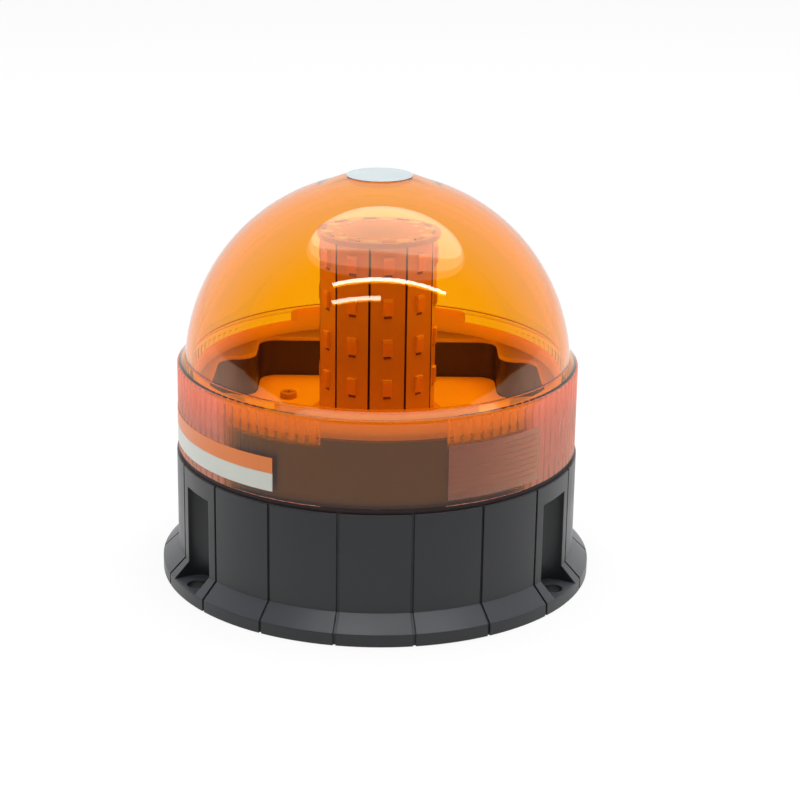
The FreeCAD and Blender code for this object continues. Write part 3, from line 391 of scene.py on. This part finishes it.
tree = amber.node_tree
place = next(node for node in tree.nodes if node.type == "TEX_COORD").outputs["Object"]
along = add_node(tree, "ShaderNodeSeparateXYZ", {"Vector": place})
height = along.outputs["Z"]
flat = add_node(tree, "ShaderNodeCombineXYZ", {"X": along.outputs["X"], "Y": along.outputs["Y"]})
radius = add_node(tree, "ShaderNodeVectorMath", {0: flat.outputs[0]}, operation="LENGTH")
turn = add_node(tree, "ShaderNodeMath", {0: along.outputs["Y"], 1: along.outputs["X"]},
                operation="ARCTAN2")
outside = add_node(tree, "ShaderNodeMath", {0: radius.outputs["Value"], 1: LENS_R - OUTER_SKIN},
                   operation="GREATER_THAN")
below = add_node(tree, "ShaderNodeMath", {0: height, 1: SHOULDER + SHOULDER_MARGIN},
                 operation="LESS_THAN")
window = add_node(tree, "ShaderNodeMath", {
    0: turn.outputs[0], 1: math.radians((WINDOW[0] + WINDOW[1]) / 2 - 90.0),
    2: math.radians((WINDOW[1] - WINDOW[0]) / 2)}, operation="COMPARE")
ribbed = add_node(tree, "ShaderNodeMath", {0: outside.outputs[0], 1: below.outputs[0]},
                  operation="MULTIPLY")
ribbed = add_node(tree, "ShaderNodeMath", {0: ribbed.outputs[0], 1: window.outputs[0]},
                  operation="SUBTRACT", use_clamp=True)
print("lens radius %.1f mm, smooth window from %.0f to %.0f degrees" % (LENS_R / MM, *WINDOW))

# %% [markdown]
# The ribs light up where the wall is seen at a slant, which the Layer Weight node tells, and in a band
# along the top of the collar. The flank of each rib that turns away stays darker; a sine over the angle
# repeats that for all 120 of them. The share of scattered light is the larger of slant and band, dimmed
# by the flank.

# %% Light in the prism ribs
RIB_COUNT, FLANK_LEVEL = 120, 0.62
BAND_SHARE, BAND_FADE = 0.55, (60.5 * MM, 62.5 * MM)
SLANT_SHARE, SLANT_FADE = 0.9, (0.30, 0.46)

wave = add_node(tree, "ShaderNodeMath", {0: turn.outputs[0], 1: float(RIB_COUNT)}, operation="MULTIPLY")
wave = add_node(tree, "ShaderNodeMath", {0: wave.outputs[0]}, operation="SINE")
flank = add_node(tree, "ShaderNodeMapRange", {
    "Value": wave.outputs[0], "From Min": -1.0, "From Max": 0.0, "To Min": FLANK_LEVEL, "To Max": 1.0})
band = add_node(tree, "ShaderNodeMapRange", {
    "Value": height, "From Min": BAND_FADE[0], "From Max": BAND_FADE[1],
    "To Min": 0.0, "To Max": BAND_SHARE})
weight = add_node(tree, "ShaderNodeLayerWeight", {"Blend": 0.5})
slant = add_node(tree, "ShaderNodeMapRange", {
    "Value": weight.outputs["Facing"], "From Min": SLANT_FADE[0], "From Max": SLANT_FADE[1],
    "To Min": 0.0, "To Max": SLANT_SHARE}, interpolation_type="SMOOTHSTEP")
share = add_node(tree, "ShaderNodeMath", {0: slant.outputs["Result"], 1: band.outputs["Result"]},
                 operation="MAXIMUM")
for mask in (flank.outputs["Result"], ribbed.outputs[0]):
    share = add_node(tree, "ShaderNodeMath", {0: share.outputs[0], 1: mask}, operation="MULTIPLY")
print("one rib is %.1f mm wide" % (2 * math.pi * LENS_R / RIB_COUNT / MM))

# %% [markdown]
# Two narrow rims catch light all the way round: the edge of the shoulder and the foot of the dome. Both
# are picked by their height, with half of the rim's own height as the margin. The scattered light itself
# is half Diffuse and half Translucent, redder where the wall is seen at a slant, and it lies only on the
# outer side of a face.

# %% Light on the rims
EDGE_SHARE = 0.6
SHOULDER_RIM = (SHOULDER - 0.1 * MM, 0.32 * MM)
DOME_FOOT_RIM = (COLLAR_TOP + 0.08 * MM, 0.22 * MM)
FRONT_AMBER, SLANT_AMBER = "#FFA040", "#FFB4A2"

shoulder_rim, foot_rim = (
    add_node(tree, "ShaderNodeMath", {0: height, 1: middle, 2: half}, operation="COMPARE")
    for middle, half in (SHOULDER_RIM, DOME_FOOT_RIM))
rims = add_node(tree, "ShaderNodeMath", {0: shoulder_rim.outputs[0], 1: foot_rim.outputs[0]},
                operation="ADD")
rims = add_node(tree, "ShaderNodeMath", {0: rims.outputs[0], 1: EDGE_SHARE}, operation="MULTIPLY")
share = add_node(tree, "ShaderNodeMath", {0: share.outputs[0], 1: rims.outputs[0]},
                 operation="MAXIMUM")
behind = add_node(tree, "ShaderNodeNewGeometry").outputs["Backfacing"]
share = add_node(tree, "ShaderNodeMath", {0: share.outputs[0], 1: behind}, operation="SUBTRACT",
                 use_clamp=True)
tint = add_node(tree, "ShaderNodeMix", {
    "Factor": slant.outputs["Result"], "A": linear(FRONT_AMBER), "B": linear(SLANT_AMBER)},
    data_type="RGBA")
front = add_node(tree, "ShaderNodeBsdfDiffuse", {"Color": tint.outputs["Result"]})
back = add_node(tree, "ShaderNodeBsdfTranslucent", {"Color": tint.outputs["Result"]})
glow = add_node(tree, "ShaderNodeMixShader", {0: 0.5, 1: front.outputs[0], 2: back.outputs[0]})
lay_over(amber, share.outputs[0], glow)
print("nodes in the finished amber:", len(tree.nodes))

# %% [markdown]
# Boards are glass-fibre laminate under a thin solder mask. The mask is glossy, and slightly wavy where
# copper runs beneath it: a bump 0.02 mm deep over spots of about a millimetre. Its tan is the colour that
# looks right through the amber. The faces of a tower board that look straight away from the tower's axis
# are its front; its cut edges and back are dark brown: bare laminate, darkened with painted shade for the
# gaps between the boards and the dim inside of the tower.

# %% Solder mask
COPPER_MM, MASK_SHADE = 1.2, 0.9
FRONT_COSINE = 0.85
MASK_ROUGHNESS = (0.28, 0.38)


def solder_mask(name, colour, laminate_and_shade_colour=None):
    """Glossy mask over laminate; laminate_and_shade_colour is laminate with painted shade for a tower
    board's cut edges and back.
    """
    material, tree, output, place = new_material(name)
    weave = add_node(tree, "ShaderNodeTexNoise", {
        "Vector": place, "Scale": per_metre(COPPER_MM), "Detail": 2.0})
    base = linear(colour)
    dark = [c * MASK_SHADE for c in base[:3]] + [1.0]
    tone = add_node(tree, "ShaderNodeMix", {
        "Factor": weave.outputs["Fac"], "A": dark, "B": base}, data_type="RGBA")
    # Painted shade: the cut edges and back of a tower board get a dark brown for the shaded gaps between
    # boards.
    if laminate_and_shade_colour:
        flat = add_node(tree, "ShaderNodeVectorMath", {0: place, 1: (1.0, 1.0, 0.0)},
                        operation="MULTIPLY")
        outwards = add_node(tree, "ShaderNodeVectorMath", {0: flat.outputs[0]}, operation="NORMALIZE")
        normal = add_node(tree, "ShaderNodeTexCoord").outputs["Normal"]
        facing = add_node(tree, "ShaderNodeVectorMath", {0: outwards.outputs[0], 1: normal},
                          operation="DOT_PRODUCT")
        front = add_node(tree, "ShaderNodeMath", {0: facing.outputs["Value"], 1: FRONT_COSINE},
                         operation="GREATER_THAN")
        tone = add_node(tree, "ShaderNodeMix", {
            "Factor": front.outputs[0], "A": linear(laminate_and_shade_colour), "B": tone.outputs["Result"]},
            data_type="RGBA")
    wave = add_node(tree, "ShaderNodeBump", {
        "Height": weave.outputs["Fac"], "Strength": 0.3, "Distance": 0.02 * MM})
    shine = add_node(tree, "ShaderNodeMapRange", {
        "Value": weave.outputs["Fac"], "To Min": MASK_ROUGHNESS[0], "To Max": MASK_ROUGHNESS[1]})
    surface = add_node(tree, "ShaderNodeBsdfPrincipled", {
        "Base Color": tone.outputs["Result"], "Roughness": shine.outputs["Result"], "IOR": 1.5,
        "Normal": wave.outputs["Normal"]})
    tree.links.new(surface.outputs[0], output.inputs["Surface"])
    return material


# %% Boards
plain_mask = solder_mask("tan_laminate", "#E2A66C")
# The #4A2410 on the tower boards' edges and backs is partly painted shade.
strip_mask = solder_mask("tan_laminate_board", "#EDB277", "#4A2410")
top_mask = solder_mask("tan_laminate_top", "#A26A3C")
driver_mask = solder_mask("green_solder_mask", "#1D5A33")
print("boards:", plain_mask.name, strip_mask.name, top_mask.name, driver_mask.name)

# %% [markdown]
# An LED is a cream plastic package with a window of orange resin. Both are about as glossy and as even as
# the solder mask, so the same recipe serves, each in its own colour.

# %% LED package and resin
led_package = solder_mask("cream_led_package", "#FFD09A")
led_resin = solder_mask("orange_led_resin", "#FFB272")
print("LED finishes:", led_package.name, led_resin.name)

# %% [markdown]
# The screws are zinc-plated steel, those in the deck with a yellow plating, and the pads on the boards
# are tinned copper. All are bare metal: fully metallic, with a shine and a tone that vary a little over
# spots of about half a millimetre, as plating and solder leave them.

# %% Bare metals
METAL_SPREAD, METAL_SHADE = 0.1, 0.85


def bare_metal(name, colour, roughness, spot_mm):
    """Bare metal whose shine and tone vary over spots of spot_mm."""
    material, tree, output, place = new_material(name)
    spots = add_node(tree, "ShaderNodeTexNoise", {
        "Vector": place, "Scale": per_metre(spot_mm), "Detail": 4.0})
    shine = add_node(tree, "ShaderNodeMapRange", {
        "Value": spots.outputs["Fac"], "To Min": roughness - METAL_SPREAD,
        "To Max": roughness + METAL_SPREAD})
    base = linear(colour)
    dark = [c * METAL_SHADE for c in base[:3]] + [1.0]
    tone = add_node(tree, "ShaderNodeMix", {
        "Factor": spots.outputs["Fac"], "A": dark, "B": base}, data_type="RGBA")
    surface = add_node(tree, "ShaderNodeBsdfPrincipled", {
        "Base Color": tone.outputs["Result"], "Metallic": 1.0, "Roughness": shine.outputs["Result"]})
    tree.links.new(surface.outputs[0], output.inputs["Surface"])
    return material


zinc_steel = bare_metal("zinc_plated_steel", "#B9BBBD", 0.35, 0.6)
yellow_zinc = bare_metal("zinc_plated_steel_yellow", "#DDB491", 0.6, 0.6)
tinned_copper = bare_metal("tinned_copper", "#C9C6BE", 0.3, 0.5)
print("metals:", zinc_steel.name, yellow_zinc.name, tinned_copper.name)

# %% [markdown]
# The driver board is out of sight in the base, but its parts have real finishes too, so that the model
# holds up when it is opened: epoxy chips, sleeved capacitors, a coil of lacquered wire, a nylon terminal.

# %% Small parts of the driver board
chip_epoxy = moulded_plastic("black_epoxy", "#1A1A1A", 0.5, 0.2, 0.01)
can_sleeve = moulded_plastic("capacitor_sleeve", "#1C2A4A", 0.35, 0.8, 0.005)
coil_lacquer = bare_metal("lacquered_copper_wire", "#9C4A22", 0.35, 0.8)
terminal_nylon = moulded_plastic("green_nylon", "#2C7A46", 0.45, 0.4, 0.01)
print("materials so far:", len(bpy.data.materials))

# %% [markdown]
# The record of the CAD model names a material slot for every node. Most nodes take the finish of their
# slot; a few share a slot and still look different, so they are listed by name. The meshes stay as CAD
# made them and only get smooth shading, in which edges over 30 degrees are kept sharp.

# %% A finish for every node
SHARP_EDGE = 30.0
finish_of_slot = {
    "black_housing": black_abs, "black_ring": inner_abs, "amber_lens": amber,
    "seal_rubber": seal_rubber, "white_deck": reflector_white, "screw_steel": zinc_steel,
    "driver_laminate": driver_mask, "white_laminate": plain_mask, "led_package": led_package,
    "capacitor_can": can_sleeve, "coil_ferrite": coil_lacquer, "chip_epoxy": chip_epoxy,
    "terminal_nylon": terminal_nylon,
}
finish_of_node = {"reflector_rim": rim_white, "deck_screws": yellow_zinc, "tower_top_board": top_mask}
finish_of_node.update({name: strip_mask for name in nodes if name.startswith("led_board")})
slot_of_node = {entry["node"]: entry["material_slot"] for entry in frame["record"]["subparts"]}
for name, piece in nodes.items():
    piece.data.materials.clear()
    piece.data.materials.append(finish_of_node.get(name, finish_of_slot[slot_of_node[name]]))
    piece.data.shade_smooth()
    piece.data.set_sharp_from_angle(angle=math.radians(SHARP_EDGE))
print("finished nodes:", len(nodes))

# %% [markdown]
# The lens decides the look of the whole object, so it is made here as one fine mesh in place of the CAD
# facets. Its section goes up the outer wall, over a sloped shoulder and the dome to a flat land for the
# round sticker, and back down inside. Inner and outer face run nearly side by side all the way, also at
# the shoulder: where they don't, light is trapped between them and leaves a black line.

# %% Outside of the lens
WALL = 2.0 * MM
DOME_R = LENS_R - 2.4 * MM
LAND_R, LAND_SLOPE, LAND_DEPTH, LAND_RISE = 10.5 * MM, 8.0 * MM, 0.25 * MM, 1.4 * MM
LAND_Z = LENS_HIGH.z - LAND_DEPTH
DOME_Z = LENS_HIGH.z - LAND_RISE - math.sqrt(DOME_R ** 2 - LAND_R ** 2)
DOME_STEPS = 40
inner_r, bottom = LENS_R - WALL, LENS_LOW.z


def dome_arc(arc_r, foot_z):
    """Points of the dome as radius and height, from its foot up to the slope of the land."""
    start = math.asin((foot_z - DOME_Z) / arc_r)
    end = math.acos((LAND_R + LAND_SLOPE) / arc_r)
    turns = [start + (end - start) * step / DOME_STEPS for step in range(DOME_STEPS + 1)]
    return [(arc_r * math.cos(turn), DOME_Z + arc_r * math.sin(turn)) for turn in turns]


section = [(inner_r, bottom), (LENS_R - 0.3 * MM, bottom), (LENS_R, bottom + 0.3 * MM),
           (LENS_R, bottom + 0.8 * MM), (LENS_R, SHOULDER - 1.2 * MM), (LENS_R, SHOULDER - 0.35 * MM),
           (LENS_R - 0.07 * MM, SHOULDER - 0.15 * MM), (LENS_R - 0.25 * MM, SHOULDER)]
section += dome_arc(DOME_R, COLLAR_TOP)
section += [(LAND_R, LAND_Z), (0.0, LAND_Z)]
print("dome radius %.1f mm, points outside: %d" % (DOME_R / MM, len(section)))

# %% [markdown]
# Inside, the prism ribs are a ripple in the radius of the collar's wall, one every three degrees, and
# they stop at the smooth window in front. Only two rows of the section carry the ripple. The rows just
# above and below them are plain, so every rib ends in a short step.

# %% Inside of the lens, with its ribs
PER_RIB = 4
SEGMENTS = RIB_COUNT * PER_RIB
RIB_RIPPLE = (0.16 * MM, 0.0, -0.16 * MM, 0.0)
RIB_LOW, RIB_HIGH, RIB_END = LENS_LOW.z + 2.5 * MM, 68.0 * MM, 0.1 * MM


def ring_angle(index):
    """Degrees from the front for one column of the mesh."""
    return index * 360.0 / SEGMENTS


def rib_height(index):
    """How far the prism ribs stand in at one column."""
    angle = (ring_angle(index) + 180.0) % 360.0 - 180.0
    if WINDOW[0] < angle < WINDOW[1]:
        return 0.0
    return RIB_RIPPLE[(index - round(WINDOW[1] / 360.0 * SEGMENTS)) % PER_RIB]


section += [(0.0, LAND_Z - WALL), (LAND_R, LAND_Z - WALL)]
section += dome_arc(DOME_R - WALL, COLLAR_TOP - 0.1 * MM)[::-1]
section += [(inner_r, SHOULDER - 0.3 * MM)]
ribbed_rows = (len(section) + 1, len(section) + 2)
section += [(inner_r, level) for level in (RIB_HIGH, RIB_HIGH - RIB_END, RIB_LOW + RIB_END, RIB_LOW)]
print("points in the section: %d, columns: %d" % (len(section), SEGMENTS))

# %% [markdown]
# Blender's Screw modifier could turn the section. The ribs need their own radius in every column, though,
# so the mesh is turned by hand: one ring of points for each point of the section, joined to the next ring
# by four-sided faces. A point on the axis stays a single point.

# %% Turning a section
ON_AXIS = 1e-7


def turned(profile, ribbed_rows=()):
    """Turns a closed section round the upright axis; only ribbed_rows carry the prism ribs."""
    shape = bmesh.new()
    rows = []
    for number, (radius, height) in enumerate(profile):
        if radius < ON_AXIS:
            rows.append([shape.verts.new((0.0, 0.0, height))])
            continue
        row = []
        for index in range(SEGMENTS):
            turn = math.radians(ring_angle(index) - 90.0)
            out = radius - (rib_height(index) if number in ribbed_rows else 0.0)
            row.append(shape.verts.new((out * math.cos(turn), out * math.sin(turn), height)))
        rows.append(row)
    for row, following in zip(rows, rows[1:] + rows[:1]):
        for index in range(SEGMENTS):
            beyond = (index + 1) % SEGMENTS
            if len(row) == 1 and len(following) == 1:
                break
            if len(row) == 1:
                shape.faces.new((row[0], following[beyond], following[index]))
            elif len(following) == 1:
                shape.faces.new((row[index], row[beyond], following[0]))
            else:
                shape.faces.new((row[index], row[beyond], following[beyond], following[index]))
    return shape


lens_shape = turned(section, ribbed_rows)
print("faces in the turned lens:", len(lens_shape.faces))

# %% [markdown]
# Three lugs inside the collar hold the lens in the slots of the mount ring. Each is a short length of
# ring with a square section, and it sinks a hair into the wall so that no gap shows. The stickers and the
# fine lines are short lengths of ring too, so the same helper makes them later.

# %% Twist-lock lugs
LUG_ANGLES, LUG_WIDTH, LUG_DEPTH = (160.0, 280.0, 40.0), 12.0, 2.6 * MM
LUG_LOW, LUG_HIGH, LUG_SINK = 45.0 * MM, 48.0 * MM, 0.02 * MM


def add_sector(shape, inner, outer, low, high, middle, width, steps=8):
    """A short length of ring with square section, centred on middle degrees from the front."""
    loops = []
    for step in range(steps + 1):
        turn = math.radians(middle - width / 2 + width * step / steps - 90.0)
        ring = [(inner, low), (outer, low), (outer, high), (inner, high)]
        loops.append([shape.verts.new((r * math.cos(turn), r * math.sin(turn), z)) for r, z in ring])
    for loop, following in zip(loops, loops[1:]):
        for corner in range(4):
            after = (corner + 1) % 4
            shape.faces.new((loop[corner], loop[after], following[after], following[corner]))
    shape.faces.new(loops[0][::-1])
    shape.faces.new(loops[-1])


for middle in LUG_ANGLES:
    add_sector(lens_shape, inner_r - LUG_DEPTH, inner_r + LUG_SINK, LUG_LOW, LUG_HIGH, middle,
               LUG_WIDTH)
print("lugs at", LUG_ANGLES, "degrees from the front")

# %% [markdown]
# Every finished shape joins the scene through one helper: mesh, material, smooth shading, and the body
# that it rides on. The faces of the lens are first turned outwards. The new lens takes the place of the
# CAD lens and rides on the lens cover, so it turns with the twist lock.

# %% The lens joins the scene
LENS_SHARP_EDGE = 35.0


def add_piece(name, shape, material, body, sharp=SHARP_EDGE):
    """Puts a finished shape in the scene and rides it on its body."""
    mesh = bpy.data.meshes.new(name)
    shape.to_mesh(mesh)
    shape.free()
    mesh.materials.append(material)
    mesh.shade_smooth()
    mesh.set_sharp_from_angle(angle=math.radians(sharp))
    piece = bpy.data.objects.new(name, mesh)
    bpy.context.scene.collection.objects.link(piece)
    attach(piece, body)
    return piece


bmesh.ops.recalc_face_normals(lens_shape, faces=lens_shape.faces)
lens = add_piece("moulded_lens", lens_shape, amber, "lens_cover", sharp=LENS_SHARP_EDGE)
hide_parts("lens")
print("lens faces:", len(lens.data.polygons))

# %% [markdown]
# Two stickers sit on the lens: a silver round one on top and a two-colour one on the left of the collar.
# Both are plain vinyl, glossy enough to take a pale sheen from the soft box. Vinyl is far smoother than
# the base: its grain is 1.5 mm wide and only a few thousandths of a millimetre deep.

# %% Vinyl
orange_vinyl, pale_vinyl = (
    moulded_plastic(name, colour, 0.35, 1.5, 0.004, ior=1.5, mottling=0.04)
    for name, colour in (("orange_printed_vinyl", "#DE7A35"), ("pale_printed_vinyl", "#C9CCC3")))
silver_vinyl = moulded_plastic("silver_vinyl", "#A9B3B6", 0.4, 1.5, 0.01, ior=1.5, mottling=0.14)
print("vinyl:", orange_vinyl.name, pale_vinyl.name, silver_vinyl.name)

# %% [markdown]
# The side sticker is a thin sheet that follows the collar, an orange band over a pale one. It could be a
# flat sheet bent by a modifier, but a length of ring is curved from the start.

# %% Side sticker
SHEET_INSIDE, SHEET_OUTSIDE, SHEET_STEPS = LENS_R + 0.01 * MM, LENS_R + 0.12 * MM, 40
STICKER_LEFT, STICKER_RIGHT = -92.0, -28.9
STICKER_LOW, STICKER_SPLIT, STICKER_HIGH = 44.6 * MM, 50.3 * MM, 55.3 * MM

for name, low, high, vinyl in (("sticker_upper_band", STICKER_SPLIT, STICKER_HIGH, orange_vinyl),
                               ("sticker_lower_band", STICKER_LOW, STICKER_SPLIT, pale_vinyl)):
    shape = bmesh.new()
    add_sector(shape, SHEET_INSIDE, SHEET_OUTSIDE, low, high, (STICKER_LEFT + STICKER_RIGHT) / 2,
               STICKER_RIGHT - STICKER_LEFT, steps=SHEET_STEPS)
    bmesh.ops.recalc_face_normals(shape, faces=shape.faces)
    add_piece(name, shape, vinyl, "lens_cover")
print("side sticker %.1f mm high" % ((STICKER_HIGH - STICKER_LOW) / MM))

# %% [markdown]
# The round sticker fills the flat land on top of the dome. Its section is a small rectangle with two
# corners on the axis, so the helper that turned the lens turns this disc too.

# %% Round sticker
DISC_LOW, DISC_HIGH = LENS_HIGH.z - 0.24 * MM, LENS_HIGH.z - 0.02 * MM

disc_section = [(0.0, DISC_LOW), (LAND_R, DISC_LOW), (LAND_R, DISC_HIGH), (0.0, DISC_HIGH)]
disc = turned(disc_section)
bmesh.ops.recalc_face_normals(disc, faces=disc.faces)
add_piece("top_sticker", disc, silver_vinyl, "lens_cover")
print("round sticker %.0f mm across" % (2 * LAND_R / MM))

# %% [markdown]
# A panel of eight fine lines stands on the right of the collar's front. They are low ridges moulded in
# one with the lens, so they are made of the same amber, only with the duller skin of an etched mould:
# roughness 0.35, and a little red scattered light. Under them lies a thin sheet of the same, which
# frosts the whole panel.

# %% Fine lines on the collar
FROST_SHARE = 0.07
LINE_COUNT, LINE_PITCH, LINE_HEIGHT, LINE_LOW = 8, 1.8 * MM, 0.55 * MM, 46.2 * MM
LINE_INSIDE, LINE_OUTSIDE, LINE_STEPS = LENS_R - 0.05 * MM, LENS_R + 0.12 * MM, 20
PANEL_INSIDE, PANEL_OUTSIDE = LENS_R + 0.005 * MM, LENS_R + 0.03 * MM
PANEL_LOW, PANEL_HIGH = 44.0 * MM, 61.2 * MM
PANEL_MIDDLE, LINE_WIDTH, PANEL_WIDTH = 35.0, 30.0, 31.0

etched_amber = clear_plastic("amber_polycarbonate_etched", "#FEEB33", "#FFF6CC", 0.35)
frost = add_node(etched_amber.node_tree, "ShaderNodeBsdfDiffuse", {"Color": linear("#F0604C")})
lay_over(etched_amber, FROST_SHARE, frost)
shape = bmesh.new()
for number in range(LINE_COUNT):
    low = LINE_LOW + number * LINE_PITCH
    add_sector(shape, LINE_INSIDE, LINE_OUTSIDE, low, low + LINE_HEIGHT, PANEL_MIDDLE, LINE_WIDTH,
               steps=LINE_STEPS)
add_sector(shape, PANEL_INSIDE, PANEL_OUTSIDE, PANEL_LOW, PANEL_HIGH, PANEL_MIDDLE, PANEL_WIDTH,
           steps=LINE_STEPS)
bmesh.ops.recalc_face_normals(shape, faces=shape.faces)
add_piece("collar_lines", shape, etched_amber, "lens_cover")
print("%d lines, %.1f mm apart" % (LINE_COUNT, LINE_PITCH / MM))

# %% [markdown]
# The tower's boards carry more than their LEDs: a painted shadow below each LED, a resin window in its
# package, and bright tinned pads on the top board. All are thin, flat and slightly rounded, so one helper
# makes every one of them, as blocks with bevelled edges placed from the tower's axis. The bevel is real
# geometry, because these edges catch the light. Equal pads are joined into one piece. A cube's faces look
# outwards from the start, so here they are left alone: recalculating them put parts of the blocks inside
# out.

# %% Pads on the tower
STRIP_COUNT, TOWER_TURN, BEVEL_STEPS = 10, -80.3, 2
strip_turns = [math.radians(TOWER_TURN + 360.0 / STRIP_COUNT * number) for number in range(STRIP_COUNT)]


def tower_pads(name, turns, centre, half, bevel, material):
    """One piece of equal pads; centre and half sizes run outwards, across and up."""
    shape = bmesh.new()
    for turn in turns:
        made = bmesh.ops.create_cube(shape, size=2.0)["verts"]
        for corner in made:
            out, across, up = (centre[axis] + corner.co[axis] * half[axis] for axis in range(3))
            corner.co = (out * math.cos(turn) - across * math.sin(turn),
                         out * math.sin(turn) + across * math.cos(turn), up)
        edges = {edge for corner in made for edge in corner.link_edges}
        bmesh.ops.bevel(shape, geom=list(edges), offset=bevel, segments=BEVEL_STEPS, affect="EDGES")
    return add_piece(name, shape, material, "housing")


print("boards at", [round(math.degrees(turn), 1) for turn in strip_turns], "degrees")

# %% [markdown]
# The LEDs stand in four rows, whose heights are read from the CAD model. A window is a shallow block that
# stands a little out of its package. Below each LED lies a thin dark brown block, almost flush with the
# board: a painted shadow of the LED.

# %% LED windows and painted shadows
STRIP_FACE = 17.96 * MM
LED_FACE = STRIP_FACE + 0.9 * MM
LED_WINDOW_HALF, LED_WINDOW_DROP, LED_WINDOW_BEVEL = (0.06 * MM, 1.4 * MM, 2.0 * MM), 0.35 * MM, 0.04 * MM
SHADOW_HALF, SHADOW_DROP, SHADOW_BEVEL = (0.05 * MM, 1.2 * MM, 0.4 * MM), 3.4 * MM, 0.03 * MM

# Painted shadow: a dark brown block under each LED, where the board lies in the LED's shade.
painted_led_shadow = moulded_plastic("painted_shadow_under_led", "#8E5228", 0.5, 0.3, 0.004)
row_boxes = [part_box("led_row_%d" % row) for row in range(1, 5)]
row_heights = [(low.z + high.z) / 2 for low, high in row_boxes]
for number, middle in enumerate(row_heights, start=1):
    tower_pads("led_row_%d_windows" % number, strip_turns, (LED_FACE, 0.0, middle - LED_WINDOW_DROP),
               LED_WINDOW_HALF, LED_WINDOW_BEVEL, led_resin)
    tower_pads("led_row_%d_marks" % number, strip_turns, (STRIP_FACE, 0.0, middle - SHADOW_DROP),
               SHADOW_HALF, SHADOW_BEVEL, painted_led_shadow)
print("rows of LEDs at", [round(value / MM, 1) for value in row_heights], "mm")

# %% [markdown]
# On the top board a large pad lies between each two boards of the tower, and a small one further in at
# each board. They are tinned for soldering, and the brightest things on the tower.

# %% Pads on the top board
TOWER_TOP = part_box("tower_top_board")[1].z
PAD_OUT, PAD_HALF = 16.3 * MM, (1.7 * MM, 2.1 * MM, 0.07 * MM)
INNER_PAD_OUT, INNER_PAD_HALF = 13.2 * MM, (0.7 * MM, 1.5 * MM, 0.07 * MM)
PAD_BEVEL = 0.04 * MM

between_strips = [turn + math.pi / STRIP_COUNT for turn in strip_turns]
tower_pads("top_board_pads", between_strips, (PAD_OUT, 0.0, TOWER_TOP), PAD_HALF, PAD_BEVEL,
           tinned_copper)
tower_pads("top_board_inner_pads", strip_turns, (INNER_PAD_OUT, 0.0, TOWER_TOP), INNER_PAD_HALF,
           PAD_BEVEL, tinned_copper)
print("top board at %.1f mm" % (TOWER_TOP / MM))
